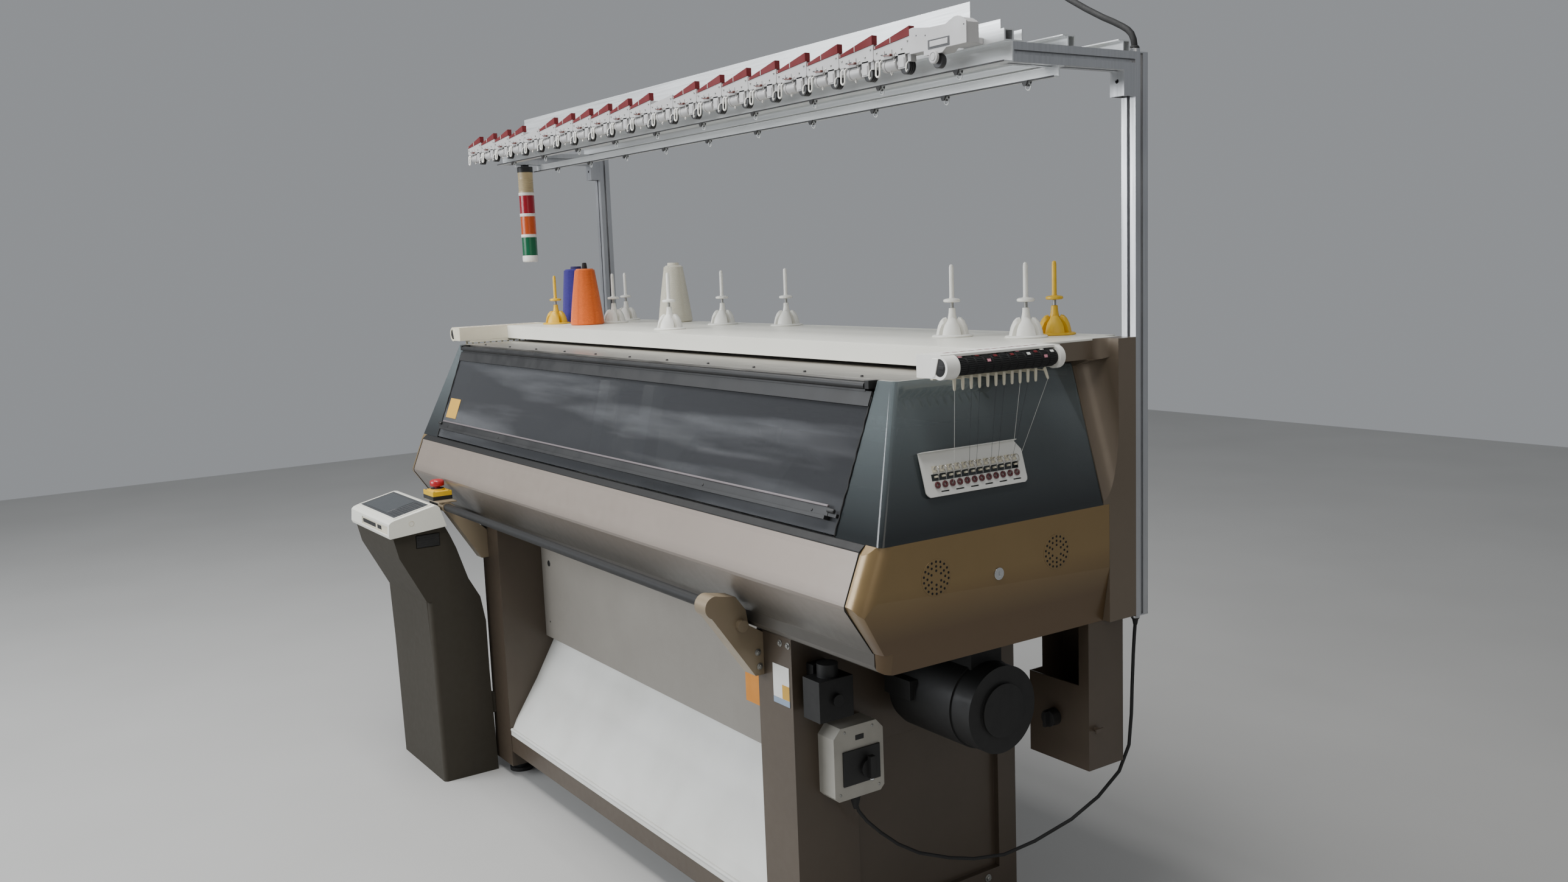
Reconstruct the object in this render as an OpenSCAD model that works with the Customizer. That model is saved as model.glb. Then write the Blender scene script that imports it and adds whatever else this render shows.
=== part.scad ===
// Flat knitting machine with overhead yarn gantry, operator console and start bar.
// Millimetres. X runs along the machine, Y from front to back, Z up from the floor.

/* [Body] */
// Length of the machine between its two side faces
body_l = 2595; // [2500:5:2700]
// Height of the table top above the floor
table_z = 1491; // [1486:1:1500]
// Thickness of the table at its lip
table_t = 45; // [38:1:50]
// Thickness of the smoked covers
glass_t = 5; // [4:0.5:6]
// Thickness of the folded sheet panels
sheet_t = 2; // [1.5:0.25:3]
// Radius of the rounded front corners of the end caps
cap_r = 40; // [30:1:44]

/* [Stand] */
// Distance from the middle of the machine to the middle of a leg
leg_x = 842; // [835:1:850]
// Width of a leg
leg_w = 138; // [130:2:140]
// Height of the cross beams between the legs
beam_h = 68; // [50:2:80]
// Height of the levelling feet
foot_h = 40; // [30:1:50]

/* [Knitting] */
// Length of the two needle beds
bed_w = 1220; // [1000:20:1300]
// Length of a needle bed down its slope
bed_len = 240; // [220:5:250]
// Width of the carriage along the machine
carriage_w = 400; // [340:10:420]
// Diameter of the carriage guide rods
rod_d = 30; // [26:1:34]
// Diameter of the take-down roller
roller_d = 70; // [50:2:80]

/* [Gantry] */
// Height of the gantry above the floor
gantry_z = 2104; // [2095:1:2115]
// Width of the square gantry section
post_w = 40; // [36:1:44]
// Diameter of the signal tower
tower_d = 60; // [50:1:60]

/* [Front] */
// Diameter of the start bar
bar_d = 25; // [20:1:26]
// Width of the console head
head_w = 400; // [380:5:410]

/* [Yarn] */
// Diameter of the yarn cone at its foot
cone_d = 118; // [100:2:120]
// Height of the yarn cones
cone_h = 195; // [170:5:200]

/* [Hidden] */
$fn = 36;
gap = 0.3;
run = 0.05;
hx = body_l / 2;
front_d = -226;
post_d = 791;
table_d = post_d + 37;
y_mid = (front_d + post_d + post_w) / 2;
sill_d = 57;
sill_z = 1127;
lean = 0.389;
side_lean = 0.30;
cover_z = 1437;
seam_x = hx - 147.5;
cap_t = 47.5;
cap_x = hx - cap_t;
floor_z = 857;
col_x = hx - 107.5;
col_d = post_d - 56;
low_col_d = post_d - 87;
win_d = post_d - 106;
rim_x = hx - 50.5;
tbl_z = table_z - table_t;
lip_d = 380;
leg_z = floor_z;
leg_in = leg_x - leg_w / 2;
leg_out = leg_x + leg_w / 2;
leg_d0 = 100;
leg_d1 = post_d - 11;
beam_z = 92;
bed_d = 350;
bed_z = 1225;
bed_gap = 6;
bed_t = 28;
bed_run = bed_len / sqrt(2);
bed_n = 61;
bed_pitch = bed_w / bed_n;
ridge = 2;
plate_x = hx - 132;
rod_z = 1085;
rod_f = 148;
rod_b = 552;
rail_z = 1302;
rail_ds = [265, 318, 382, 435];
pul_x = hx - 210;
pul_z = 1190;
pul_r = 37.7;
belt_d = 580;
belt_w = 20;
arm_d = 429;
arm_z = gantry_z - post_w;
flag_pitch = body_l / 21.3;
flag_x = hx - 162.5;
flag_skip = [8, 15];
hinge_d = 166;
hinge_z = 1426;
cover_top = 1412;
bar_y = -30;
bar_z = 930;
bar_x0 = 10 - leg_in - 97;
bar_x1 = leg_in - 22;
ped_x0 = -1279;
ped_x1 = -884;
head_x1 = -865;
estop_x = -952;
guide_w = 7;
side_tilt = atan(side_lean);
front_tilt = atan(lean);
tower_x = -hx + 22.5;

fascia_pts = [[57, 1113], [40, 1113], [36, 1101], [2, 1017], [0, 1011], [1, 1004], [8, 994],
    [68, 904], [70, 900], [70, 876], [75, 866], [84, 860], [100, 857], [240, 857]];
cap_pts = [[57, 1127], [40, 1110], [0, 1012], [8, 996], [68, 904], [70, 900], [70, 876],
    [75, 866], [84, 860], [100, 857], [low_col_d - gap, 857], [low_col_d - gap, 1127]];
plate_back = [[250, 859.3], [250, 857], [low_col_d, 857], [low_col_d, 1118], [620, 1240], [560, 1335],
    [215, 1335], [150, 1150], [80, 1118]];
ped_pts = [[-97, 0], [-97, 14], [-103, 416], [-109, 615], [-133, 663], [-192, 780],
    [-208, 851.96], [-36, 867.4], [-19, 832], [-1, 788], [33, 679], [70, 610], [84, 523],
    [84, 354], [92, 7], [92, 0]];
head_pts = [[-222, 851], [-226, 860], [-223, 898], [-216, 905], [-204, 909.5], [-70, 940.5],
    [-60, 939], [-54, 933], [-33, 868]];
chute_pts = [[104, beam_z + beam_h + 1.4], [124, 201], [206, 326], [380, 630]];
holders_w = [[1077, 674], [881, 624], [-37, 775], [-335, 733], [-270, 501], [-937, 655],
    [-1072, 775]];
holders_y = [[1069, 775], [-1124, 519]];
cones = [[-937, 542], [-1150, 628], [-694, 765]];

top_x = hx - post_w / 2;
top_d = post_d + post_w / 2;
supply_path = [for (q = [[0, 9.4], [0, 18], [2, 29], [8, 42], [18, 52], [32, 61], [58, 75], [89, 90],
    [137, 116], [186, 145], [216, 164]]) [top_x - q[0], top_d, gantry_z + q[1]]];
lead_path = [[leg_out + 40, 236, 463.7], [leg_out + 40, 236, 448], [leg_out + 43, 242, 426],
    [leg_out + 52, 258, 400], [leg_out + 68, 285, 370], [leg_out + 88, 319, 339],
    [1024, 361, 314], [1060, 422, 297], [1090, 471, 291], [1126, 533, 296], [1163, 595, 324],
    [hx - 89.5, 670, 372], [hx - 57.5, 726, 423], [hx - 31.5, 768, 482],
    [hx - 18.5, 787, 545], [hx - 15.5, 792, 620], [hx - 15.5, 795, 690], [hx - 16.5, 800, 760],
    [hx - 19, 807, 810], [top_x, top_d, 832], [top_x, top_d, 848.7]];

function unit(v) = v / norm(v);
function left_n(a, b) = [-unit(b - a)[1], unit(b - a)[0]];
function mid_n(p, i) = left_n(p[i - 1], p[i]) + left_n(p[i], p[i + 1]);
function dot_n(p, i) = left_n(p[i - 1], p[i]) * left_n(p[i], p[i + 1]);
function off_pt(p, i, t) = i == 0 ? p[0] + t * left_n(p[0], p[1])
    : i == len(p) - 1 ? p[i] + t * left_n(p[i - 1], p[i])
    : p[i] + t * mid_n(p, i) / (1 + dot_n(p, i));
function sheet(p, t) = concat(p, [for (i = [len(p) - 1:-1:0]) off_pt(p, i, t)]);
function plate_pts() = concat([for (i = [0:len(fascia_pts) - 1])
    off_pt(fascia_pts, i, sheet_t + gap)], plate_back);
function stand_z(d) = 950 + 50 * (low_col_d - d) / (low_col_d - 495) + gap;
function under(d) = bed_z - bed_t * sqrt(2) - (bed_d - bed_gap - d) - gap * sqrt(2);

function tan_v(p, i) = unit(i == 0 ? p[1] - p[0]
    : i == len(p) - 1 ? p[i] - p[i - 1] : p[i + 1] - p[i - 1]);
function ring_v(p, i, r, n, q) = let (t = tan_v(p, i), a = unit(cross(t, q)), b = cross(t, a))
    [for (k = [0:n - 1]) p[i] + r * (cos(k * 360 / n) * a + sin(k * 360 / n) * b)];
function tube_v(p, r, n, q) = [for (i = [0:len(p) - 1]) each ring_v(p, i, r, n, q)];
function tube_f(m, n) = concat([[for (k = [0:n - 1]) k]],
    [for (i = [0:m - 2]) for (k = [0:n - 1])
        [(i + 1) * n + k, (i + 1) * n + (k + 1) % n, i * n + (k + 1) % n, i * n + k]],
    [[for (k = [n - 1:-1:0]) (m - 1) * n + k]]);

module along_x(x0, x1) {
    translate([x0, -y_mid, 0])
        rotate([90, 0, 90])
            linear_extrude(x1 - x0)
                children();
}

module block(x0, x1, d0, d1, z0, z1) {
    translate([x0, d0 - y_mid, z0])
        cube([x1 - x0, d1 - d0, z1 - z0]);
}

module bar_along(x0, x1, d, z, r) {
    translate([x0, d - y_mid, z])
        rotate([0, 90, 0])
            cylinder(h = x1 - x0, r = r);
}

module pin_back(x, d0, d1, z, r) {
    translate([x, d0 - y_mid, z])
        rotate([-90, 0, 0])
            cylinder(h = d1 - d0, r = r);
}

module post_up(x, d, z0, z1, r) {
    translate([x, d - y_mid, z0])
        cylinder(h = z1 - z0, r = r);
}

module both() {
    children();
    mirror([1, 0, 0])
        children();
}

// Everything on the inner side of a plane through p with outward normal n
module inside(p, n, s) {
    translate(p)
        rotate([0, acos(n[2]), atan2(n[1], n[0])])
            translate([-s, -s, -2 * s])
                cube([2 * s, 2 * s, 2 * s]);
}

// Sliver to cut from the sharp edge through p between two outward normals
module edge_sliver(p, n1, n2, r, s) {
    m = unit(n1 + n2);
    e = unit(cross(n1, n2));
    a = p - r * (n1 + n2) / (1 + n1 * n2);
    h = a + m * r * norm(n1 + n2) / 2;
    difference() {
        translate(h)
            rotate([0, acos(m[2]), atan2(m[1], m[0])])
                translate([-s, -s, 0])
                    cube([2 * s, 2 * s, r]);
        translate(a)
            rotate([0, acos(e[2]), atan2(e[1], e[0])])
                translate([0, 0, -2 * s])
                    cylinder(h = 4 * s, r = r);
    }
}

n_front = unit([0, -1, lean]);
n_side = unit([1, 0, side_lean]);
p_sill = [hx, sill_d - y_mid, sill_z];

// Leg with a recess in each face
module leg_body() {
    difference() {
        along_x(leg_in, leg_out)
            polygon([[leg_d0, foot_h], [leg_d1, foot_h], [leg_d1, leg_z], [leg_d0 + 4, leg_z],
                [leg_d0, leg_z - 8]]);
        along_x(leg_out - 16, leg_out + 1)
            difference() {
                polygon([[leg_d0 + 175, 130], [leg_d1 - 60, 130], [leg_d1 - 60, 560],
                    [leg_d0 + 175, 560]]);
                translate([leg_d0 + 175, 130])
                    circle(r = 60);
            }
        along_x(leg_in - 1, leg_in + 16)
            polygon([[leg_d0 + 190, 250], [leg_d1 - 70, 250], [leg_d1 - 70, 780]]);
    }
}

module leg_left() {
    color([0.52, 0.46, 0.36])
        mirror([1, 0, 0])
            leg_body();
}

module leg_right() {
    color([0.52, 0.46, 0.36])
        leg_body();
}

module levelling_feet() {
    color([0.12, 0.12, 0.12])
        both()
            for (d = [leg_d0 + 60, leg_d1 - 60]) {
                post_up(leg_x, d, 0, 12, 40);
                post_up(leg_x, d, 0, foot_h, 12);
                post_up(leg_x, d, 12, 22, 24);
            }
}

module base_beams() {
    color([0.5, 0.45, 0.36])
        for (d = [leg_d0 + 2, leg_d1 - 62])
            difference() {
                block(-leg_in, leg_in, d, d + 50, beam_z, beam_z + beam_h);
                block(-leg_in + 20, leg_in - 20, d + 4, d + 46, beam_z - 1, beam_z + beam_h - 4);
            }
}

module bed_beam() {
    color([0.3, 0.31, 0.32])
        union() {
            along_x(-plate_x + gap, plate_x - gap)
                polygon([[250, floor_z], [300, floor_z], [300, under(300)], [205, under(205)],
                    [205, 1000], [250, 955]]);
            along_x(-plate_x + gap, plate_x - gap)
                polygon([[400, floor_z], [low_col_d, floor_z], [low_col_d, 950], [495, 1000],
                    [495, under(205)], [400, under(300)]]);
            both() {
                difference() {
                    along_x(plate_x, plate_x + 24.2)
                        polygon(plate_pts());
                    along_x(plate_x - 1, plate_x + 26)
                        polygon([[300, 900], [400, 900], [400, 1080], [300, 1080]]);
                }
                // Bearing plates of the take-down roller
                difference() {
                    block(bed_w / 2 + 60, bed_w / 2 + 75, 300 + gap, 400 - gap, floor_z, 1050);
                    bar_along(bed_w / 2 + 59, bed_w / 2 + 76, bed_d, 930, 12 + run);
                }
                // Stand of the belt pulley on the sloping top of the rear girder
                difference() {
                    along_x(pul_x - 45, pul_x + 45)
                        polygon([[622, stand_z(622)], [642, stand_z(642)], [642, pul_z + 40],
                            [622, pul_z + 40]]);
                    pin_back(pul_x, 621, 643, pul_z, 10 + run);
                }
            }
        }
}

// Front bed: grooved plate on the 45 degree slope, its nose cut upright
module bed_plate() {
    teeth = [for (i = [0:bed_n - 1]) let (x = -bed_w / 2 + i * bed_pitch)
        each [[x, 0], [x, ridge], [x + bed_pitch / 2, ridge], [x + bed_pitch / 2, 0]]];
    pts = concat(teeth, [[bed_w / 2, 0], [bed_w / 2 + 30, 0], [bed_w / 2 + 30, -bed_t],
        [-bed_w / 2 - 30, -bed_t], [-bed_w / 2 - 30, 0]]);
    intersection() {
        translate([0, bed_d - bed_gap - bed_run - y_mid, bed_z - bed_run])
            rotate([45, 0, 0])
                translate([0, bed_len + 40, 0])
                    rotate([90, 0, 0])
                        linear_extrude(bed_len + 40)
                            polygon(pts);
        block(-bed_w, bed_w, 0, bed_d - bed_gap, 900, 1400);
    }
}

module front_needle_bed() {
    color([0.72, 0.73, 0.74])
        bed_plate();
}

module rear_needle_bed() {
    color([0.72, 0.73, 0.74])
        translate([0, 2 * (bed_d - y_mid), 0])
            mirror([0, 1, 0])
                bed_plate();
}

module cam_side() {
    c = ridge * sqrt(2) + 2;
    along_x(-carriage_w / 2, carriage_w / 2)
        polygon([[190, 190 + 881 + c], [322, 322 + 881 + c], [322, 322 + 881 + c + 42],
            [306, 306 + 881 + c + 42], [206, 206 + 881 + c + 42], [190, 190 + 881 + c + 30]]);
}

module carriage() {
    color([0.82, 0.82, 0.8])
        union() {
            cam_side();
            translate([0, 2 * (bed_d - y_mid), 0])
                mirror([0, 1, 0])
                    cam_side();
            both()
                along_x(carriage_w / 4, carriage_w / 4 + 60)
                    difference() {
                        polygon([[150, 1106], [150, 1150], [205, 1365], [495, 1365], [550, 1150],
                            [550, 1106]]);
                        polygon([[192, 1000], [192, 1150], [232, 1332], [468, 1332], [508, 1150],
                            [508, 1000]]);
                    }
            for (d = [rod_f, rod_b])
                difference() {
                    block(-carriage_w / 2 + 20, carriage_w / 2 - 20, d - 26, d + 26, rod_z - 24,
                        rod_z + 24);
                    bar_along(-carriage_w, carriage_w, d, rod_z, rod_d / 2 + run);
                }
            block(-carriage_w / 4, carriage_w / 4, 250, 450, 1340, 1362);
            // Clamp on the upper run of the belt
            difference() {
                block(-40, 40, 525, belt_d + belt_w + 6, pul_z + pul_r - 8, pul_z + pul_r + 12);
                block(-41, 41, belt_d - 0.5, belt_d + belt_w + 0.5, pul_z + pul_r - 0.5,
                    pul_z + pul_r + 5.3);
            }
            block(-carriage_w / 4 - 10, carriage_w / 4 + 10, 508, 526, pul_z - 60, pul_z - 30);
            block(-40, 40, 508, 529, pul_z - 60, pul_z + pul_r + 12);
            for (d = [202, 498])
                block(-carriage_w / 2, carriage_w / 2, d - 10, d + 10, 1106, 1118);
        }
}

module bed_rails() {
    color([0.78, 0.79, 0.8])
        union() {
            for (d = [rod_f, rod_b])
                bar_along(-plate_x, plate_x, d, rod_z, rod_d / 2);
            for (d = rail_ds)
                block(-plate_x, plate_x, d - 5, d + 5, rail_z - 12, rail_z + 12);
        }
}

module drive_belt() {
    color([0.1, 0.1, 0.1])
        translate([0, belt_d - y_mid, 0])
            rotate([-90, 0, 0])
                linear_extrude(belt_w)
                    difference() {
                        union() {
                            both()
                                translate([pul_x, -pul_z])
                                    circle(r = pul_r + gap + 4);
                            translate([-pul_x, -pul_z - pul_r - gap - 4])
                                square([2 * pul_x, 2 * (pul_r + gap + 4)]);
                        }
                        both()
                            translate([pul_x, -pul_z])
                                circle(r = pul_r + gap);
                        translate([-pul_x, -pul_z - pul_r - gap])
                            square([2 * pul_x, 2 * (pul_r + gap)]);
                    }
}

module pulley_at(x) {
    pin_back(x, belt_d - 2.3, belt_d + belt_w + 2.3, pul_z, pul_r);
    for (d = [belt_d - 5.3, belt_d + belt_w + 0.3])
        pin_back(x, d, d + 5, pul_z, pul_r + 8);
    pin_back(x, belt_d, 650, pul_z, 10);
    pin_back(x, belt_d + belt_w + 5.3, 621.7, pul_z, 16);
}

module drive_pulley() {
    color([0.75, 0.75, 0.76])
        pulley_at(pul_x);
}

module idler_pulley() {
    color([0.75, 0.75, 0.76])
        pulley_at(-pul_x);
}

module motor_and_valve() {
    color([0.07, 0.07, 0.08])
        union() {
            bar_along(leg_out + 55, hx - 62, 430, 700, 98);
            bar_along(leg_out + 70, hx - 120, 430, 700, 102);
            bar_along(hx - 62, hx - 55, 430, 700, 60);
            block(leg_out + 90, hx - 110, 385, 475, 780, floor_z);
            block(leg_out + 60, leg_out + 150, 315, 545, 700, 745);
            block(leg_out, leg_out + 26, 140, 190, 760, 790);
            block(leg_out + 24, leg_out + 86, 112, 205, 676, 770);
            post_up(leg_out + 55, 158, 770, 800, 24);
            bar_along(leg_out + 86, leg_out + 96, 158, 722, 14);
        }
}

module carrier_body(x, d) {
    s = d < bed_d ? 1 : -1;
    tip = bed_d - s * 5;
    translate([x, 0, 0])
        union() {
            difference() {
                block(-30, 30, d - 13, d + 13, rail_z - 19, rail_z + 17);
                block(-31, 31, d - 5.1, d + 5.1, rail_z - 12.1, rail_z + 12.1);
            }
            along_x(-7, 7)
                polygon([[d + s * 5.5, rail_z - 16], [d + s * 13, rail_z - 16],
                    [tip + s * 2, bed_z + 22], [tip + s * 2, bed_z + 8], [tip - s * 1.5, bed_z + 8],
                    [tip - s * 1.5, bed_z + 22]]);
            post_up(0, tip, bed_z + 5, bed_z + 12, 2.5);
        }
}

module yarn_carrier_left() {
    color([0.85, 0.82, 0.72])
        carrier_body(-520, rail_ds[1]);
}

module yarn_carrier_right() {
    color([0.85, 0.82, 0.72])
        carrier_body(520, rail_ds[2]);
}

module takedown_roller() {
    color([0.16, 0.16, 0.17])
        union() {
            bar_along(-bed_w / 2 - 20, bed_w / 2 + 20, bed_d, 930, roller_d / 2);
            bar_along(-bed_w / 2 - 90, bed_w / 2 + 90, bed_d, 930, 12);
        }
}

module fascia() {
    color([0.78, 0.75, 0.68])
        along_x(-cap_x + gap, cap_x - gap)
            polygon(sheet(fascia_pts, sheet_t));
}

// Bronze end cap: hollow casting with a rib, vents, lock bore and rounded front corner
module cap_body(lock) {
    a = [hx, 56 - y_mid, 1018];
    b = [hx, 711 - y_mid, 983];
    c = [hx - 24, 400 - y_mid, floor_z];
    nf = -unit(cross(b - a, c - a));
    nl = unit([0, -92, -60]);
    nu = unit([0, -98, 40]);
    difference() {
        intersection() {
            along_x(cap_x, hx)
                polygon(cap_pts);
            inside(a, nf, 900);
        }
        edge_sliver([hx, 0 - y_mid, 1012], nu, [1, 0, 0], cap_r, 500);
        intersection() {
            edge_sliver([hx, 68 - y_mid, 904], nl, nf, cap_r, 500);
            block(cap_x - 1, hx + 1, -20, 300, 903.9, 1030);
        }
        intersection() {
            edge_sliver([hx - 17, 70 - y_mid, 900], [0, -1, 0], nf, cap_r, 400);
            block(cap_x - 1, hx + 1, 60, 300, 850, 904);
        }
        difference() {
            along_x(cap_x - 1, hx - 30)
                polygon([[70, 1119], [52, 1104], [16, 1014], [26, 1002], [86, 910], [86, 880],
                    [100, 865], [695, 865], [695, 1119]]);
            block(cap_x - 2, hx, 440, 520, 850, 1130);
        }
        block(hx - 31, hx - 7, 100, 430, 1000, 1110);
        block(hx - 31, hx - 7, 525, 690, 1000, 1110);
        for (d = [196, 537])
            for (k = [1:3])
                for (j = [0:k * 4 + 1])
                    bar_along(hx - 10, hx + 1, d + (k + 0.6) * 9 * cos(j * 360 / (k * 4 + 2)),
                        1046 + (k + 0.6) * 9 * sin(j * 360 / (k * 4 + 2)), 2.4);
        if (lock)
            bar_along(hx - 40, hx + 1, 366, 1026, 9 + run);
    }
}

module end_cap_left() {
    color([0.55, 0.46, 0.3])
        mirror([1, 0, 0])
            cap_body(false);
}

module end_cap_right() {
    color([0.55, 0.46, 0.3])
        cap_body(true);
}

module key_lock() {
    color([0.8, 0.81, 0.82])
        difference() {
            union() {
                bar_along(hx - 14, hx + 3, 366, 1026, 9);
                bar_along(hx + gap, hx + 3, 366, 1026, 13);
            }
            block(hx + 1.5, hx + 4, 364.5, 367.5, 1020, 1032);
        }
}

// A slab lying on the leaning front plane, v measured up the slope from the sill
module on_front(x0, x1, w0, w1, v0, v1) {
    translate([x0, sill_d - y_mid, sill_z])
        rotate([-front_tilt, 0, 0])
            translate([0, w0, v0])
                cube([x1 - x0, w1 - w0, v1 - v0]);
}

cover_v = (cover_top - sill_z) / cos(front_tilt);

module front_cover() {
    color([0.18, 0.2, 0.21, 0.6])
        on_front(-seam_x + 3, seam_x - 3, 0, glass_t, 4, cover_v - 8);
}

module cover_handle() {
    color([0.13, 0.13, 0.13])
        union() {
            on_front(-seam_x + 34, seam_x - 34, -9, -gap, 30, 56);
            on_front(-seam_x + 34, seam_x - 34, -16, -9, 30, 38);
            on_front(-seam_x + 3, seam_x - 3, -5, -gap, cover_v - 30, cover_v + 2);
            on_front(-seam_x + 3, seam_x - 3, -1, glass_t, cover_v - 7.7, cover_v + 2);
            for (s = [-1, 1])
                on_front(s > 0 ? seam_x - 34 : -seam_x + 6, s > 0 ? seam_x - 6 : -seam_x + 34, -8,
                    -gap, 38, 46);
            difference() {
                union() {
                    bar_along(-seam_x + 24, seam_x - 24, hinge_d, hinge_z, 8);
                    on_front(-seam_x + 24, seam_x - 24, -6, 2, cover_v, cover_v + 8);
                }
                bar_along(-hx, hx, hinge_d, hinge_z, 4 + run);
            }
        }
}

// Fixed parts of the cover: hinge pin held in the corner covers, and the black sill
module cover_hinge() {
    color([0.08, 0.08, 0.08])
        union() {
            bar_along(-seam_x + 8, seam_x - 8, hinge_d, hinge_z, 4);
            both()
                block(seam_x - 22, seam_x - 8, hinge_d - 6, 190 - gap, hinge_z - 6, cover_z);
            along_x(-cap_x + gap, cap_x - gap)
                polygon([[40.5, 1113 + gap], [64, 1113 + gap], [64, sill_z - gap],
                    [54, sill_z - gap], [40.5, 1116]]);
        }
}

module side_cover_body() {
    m = glass_t;
    difference() {
        intersection() {
            inside(p_sill, n_front, 900);
            inside(p_sill, n_side, 900);
            block(seam_x, hx + 50, 0, win_d - gap, sill_z, cover_z);
        }
        edge_sliver(p_sill, n_front, n_side, 15, 400);
        intersection() {
            inside(p_sill - m * n_front, n_front, 900);
            inside(p_sill - m * n_side, n_side, 900);
            block(seam_x - 50, hx + 50, 0, 1000, sill_z - 50, cover_z + 50);
        }
    }
}

module side_cover_right() {
    color([0.2, 0.26, 0.28, 0.6])
        side_cover_body();
}

module side_cover_left() {
    color([0.2, 0.26, 0.28, 0.6])
        mirror([1, 0, 0])
            side_cover_body();
}

module top_strip() {
    x = hx - side_lean * (cover_z - sill_z) - glass_t * 1.05 - 2;
    color([0.7, 0.7, 0.69])
        difference() {
            union() {
                block(-x, x, 190, win_d - gap, 1431, cover_z);
                block(-col_x + gap, col_x - gap, 190, post_d - 26 - gap, 1431, cover_z);
                block(-col_x + gap, col_x - gap, post_d - 46, post_d - 26 - gap, 1400, 1432);
            }
            for (i = [-5:5])
                post_up(i * 210, 215, 1435.5, 1438, 4);
        }
}

module table() {
    color([0.87, 0.85, 0.78])
        difference() {
            union() {
                block(-rim_x + 42, rim_x - 42, lip_d, table_d, tbl_z, table_z);
                block(-rim_x, rim_x, lip_d, lip_d + 20, tbl_z, table_z);
                block(-rim_x, rim_x, lip_d, post_d - gap, table_z - 4, table_z);
            }
            block(-rim_x + 66, rim_x - 66, lip_d + 22, post_d - 28, tbl_z - 1, table_z - 5);
        }
}

module frame_body() {
    difference() {
        union() {
            block(col_x, hx, col_d, post_d, floor_z, table_z - 4 - gap);
            block(rim_x + gap, hx, col_d - 30, post_d, table_z - 5, table_z);
            block(col_x, hx, low_col_d, col_d + 1, floor_z, sill_z);
            block(rim_x - 42 + gap, rim_x, lip_d + 20 + gap, col_d + 1, tbl_z, table_z - 4 - gap);
            block(col_x, hx, win_d, col_d + 1, sill_z, tbl_z);
            block(rim_x - 1, hx, col_d - 30, col_d + 1, tbl_z, table_z - 4 - gap);
        }
        // Scooped surface between the side window and the column
        translate([hx + 55, win_d - y_mid, sill_z])
            rotate([0, -side_tilt, 0]) {
                translate([0, 0, -60])
                    cylinder(h = 392, r = 50);
                translate([0, -60, -60])
                    cube([120, 109.5, 392]);
            }
        post_up(rim_x + 30, col_d - 30, tbl_z - 1, table_z + 1, 29.8);
        block(rim_x + 29, hx + 1, col_d - 31, col_d - 0.4, tbl_z - 1, table_z + 1);
        block(col_x - 1, rim_x - 42 + gap, 0, post_d + 50, tbl_z, table_z + 50);
    }
}

module end_frame_left() {
    color([0.5, 0.43, 0.32])
        mirror([1, 0, 0])
            frame_body();
}

module end_frame_right() {
    color([0.5, 0.43, 0.32])
        frame_body();
}

module rear_panel() {
    color([0.55, 0.5, 0.4])
        union() {
            block(-col_x, col_x, post_d - 26, post_d - 4, floor_z, tbl_z);
            for (i = [-4:4])
                block(i * 220 - 15, i * 220 + 15, post_d - 4, post_d - 1, floor_z + 60,
                    tbl_z - 60);
        }
}

su_x = rim_x + 69;
su_z = table_z - 23;

module side_unit() {
    difference() {
        union() {
            block(rim_x + gap, su_x + 4, 200, 530, table_z - 3, table_z + 2);
            block(rim_x + gap, rim_x + 6, 200, 530, tbl_z, table_z);
            for (d = [[200, 34], [512, 14]]) {
                pin_back(su_x, d[0], d[0] + d[1], su_z, 24);
                block(rim_x + gap, su_x, d[0], d[0] + d[1], tbl_z, table_z + 2);
            }
        }
        pin_back(su_x, 199, 206, su_z, 18);
        pin_back(su_x, 199, 531, su_z, 6 + run);
        for (i = [0:11])
            block(rim_x + 30, rim_x + 38, 242 + i * 22, 258 + i * 22, table_z + 1, table_z + 3);
    }
}

module side_tension_right() {
    color([0.9, 0.9, 0.88])
        side_unit();
}

module roller_at() {
    pin_back(su_x, 208, 524, su_z, 6);
    pin_back(su_x, 234.3, 511.7, su_z, 17);
    for (i = [0:11])
        pin_back(su_x, 239 + i * 22.5, 259 + i * 22.5, su_z, 19);
}

module feed_roller_right() {
    color([0.1, 0.1, 0.11])
        roller_at();
}

module side_tension_left() {
    color([0.88, 0.86, 0.78])
        mirror([1, 0, 0])
            union() {
                side_unit();
                pin_back(su_x, 233, 513, su_z, 17);
                for (i = [0:11])
                    pin_back(su_x, 239 + i * 22.5, 259 + i * 22.5, su_z, 19);
                pin_back(su_x, 203, 220, su_z, 10);
            }
}

module tension_fingers() {
    color([0.85, 0.81, 0.68])
        both()
            union() {
                block(rim_x + gap, rim_x + 8, 236, 510, tbl_z - 8, tbl_z - gap);
                for (i = [0:11]) {
                    block(rim_x + 7, rim_x + 62, 244 + i * 22.5, 250 + i * 22.5, tbl_z - 6, tbl_z - 3);
                    block(rim_x + 58, rim_x + 62, 243.5 + i * 22.5, 250.5 + i * 22.5, tbl_z - 22,
                        tbl_z - 2);
                }
            }
}

// Works in the plane of the side window: w outwards, y backwards, v up the slope
module on_side() {
    translate([hx, -y_mid, sill_z])
        rotate([0, -side_tilt, 0])
            children();
}

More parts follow.
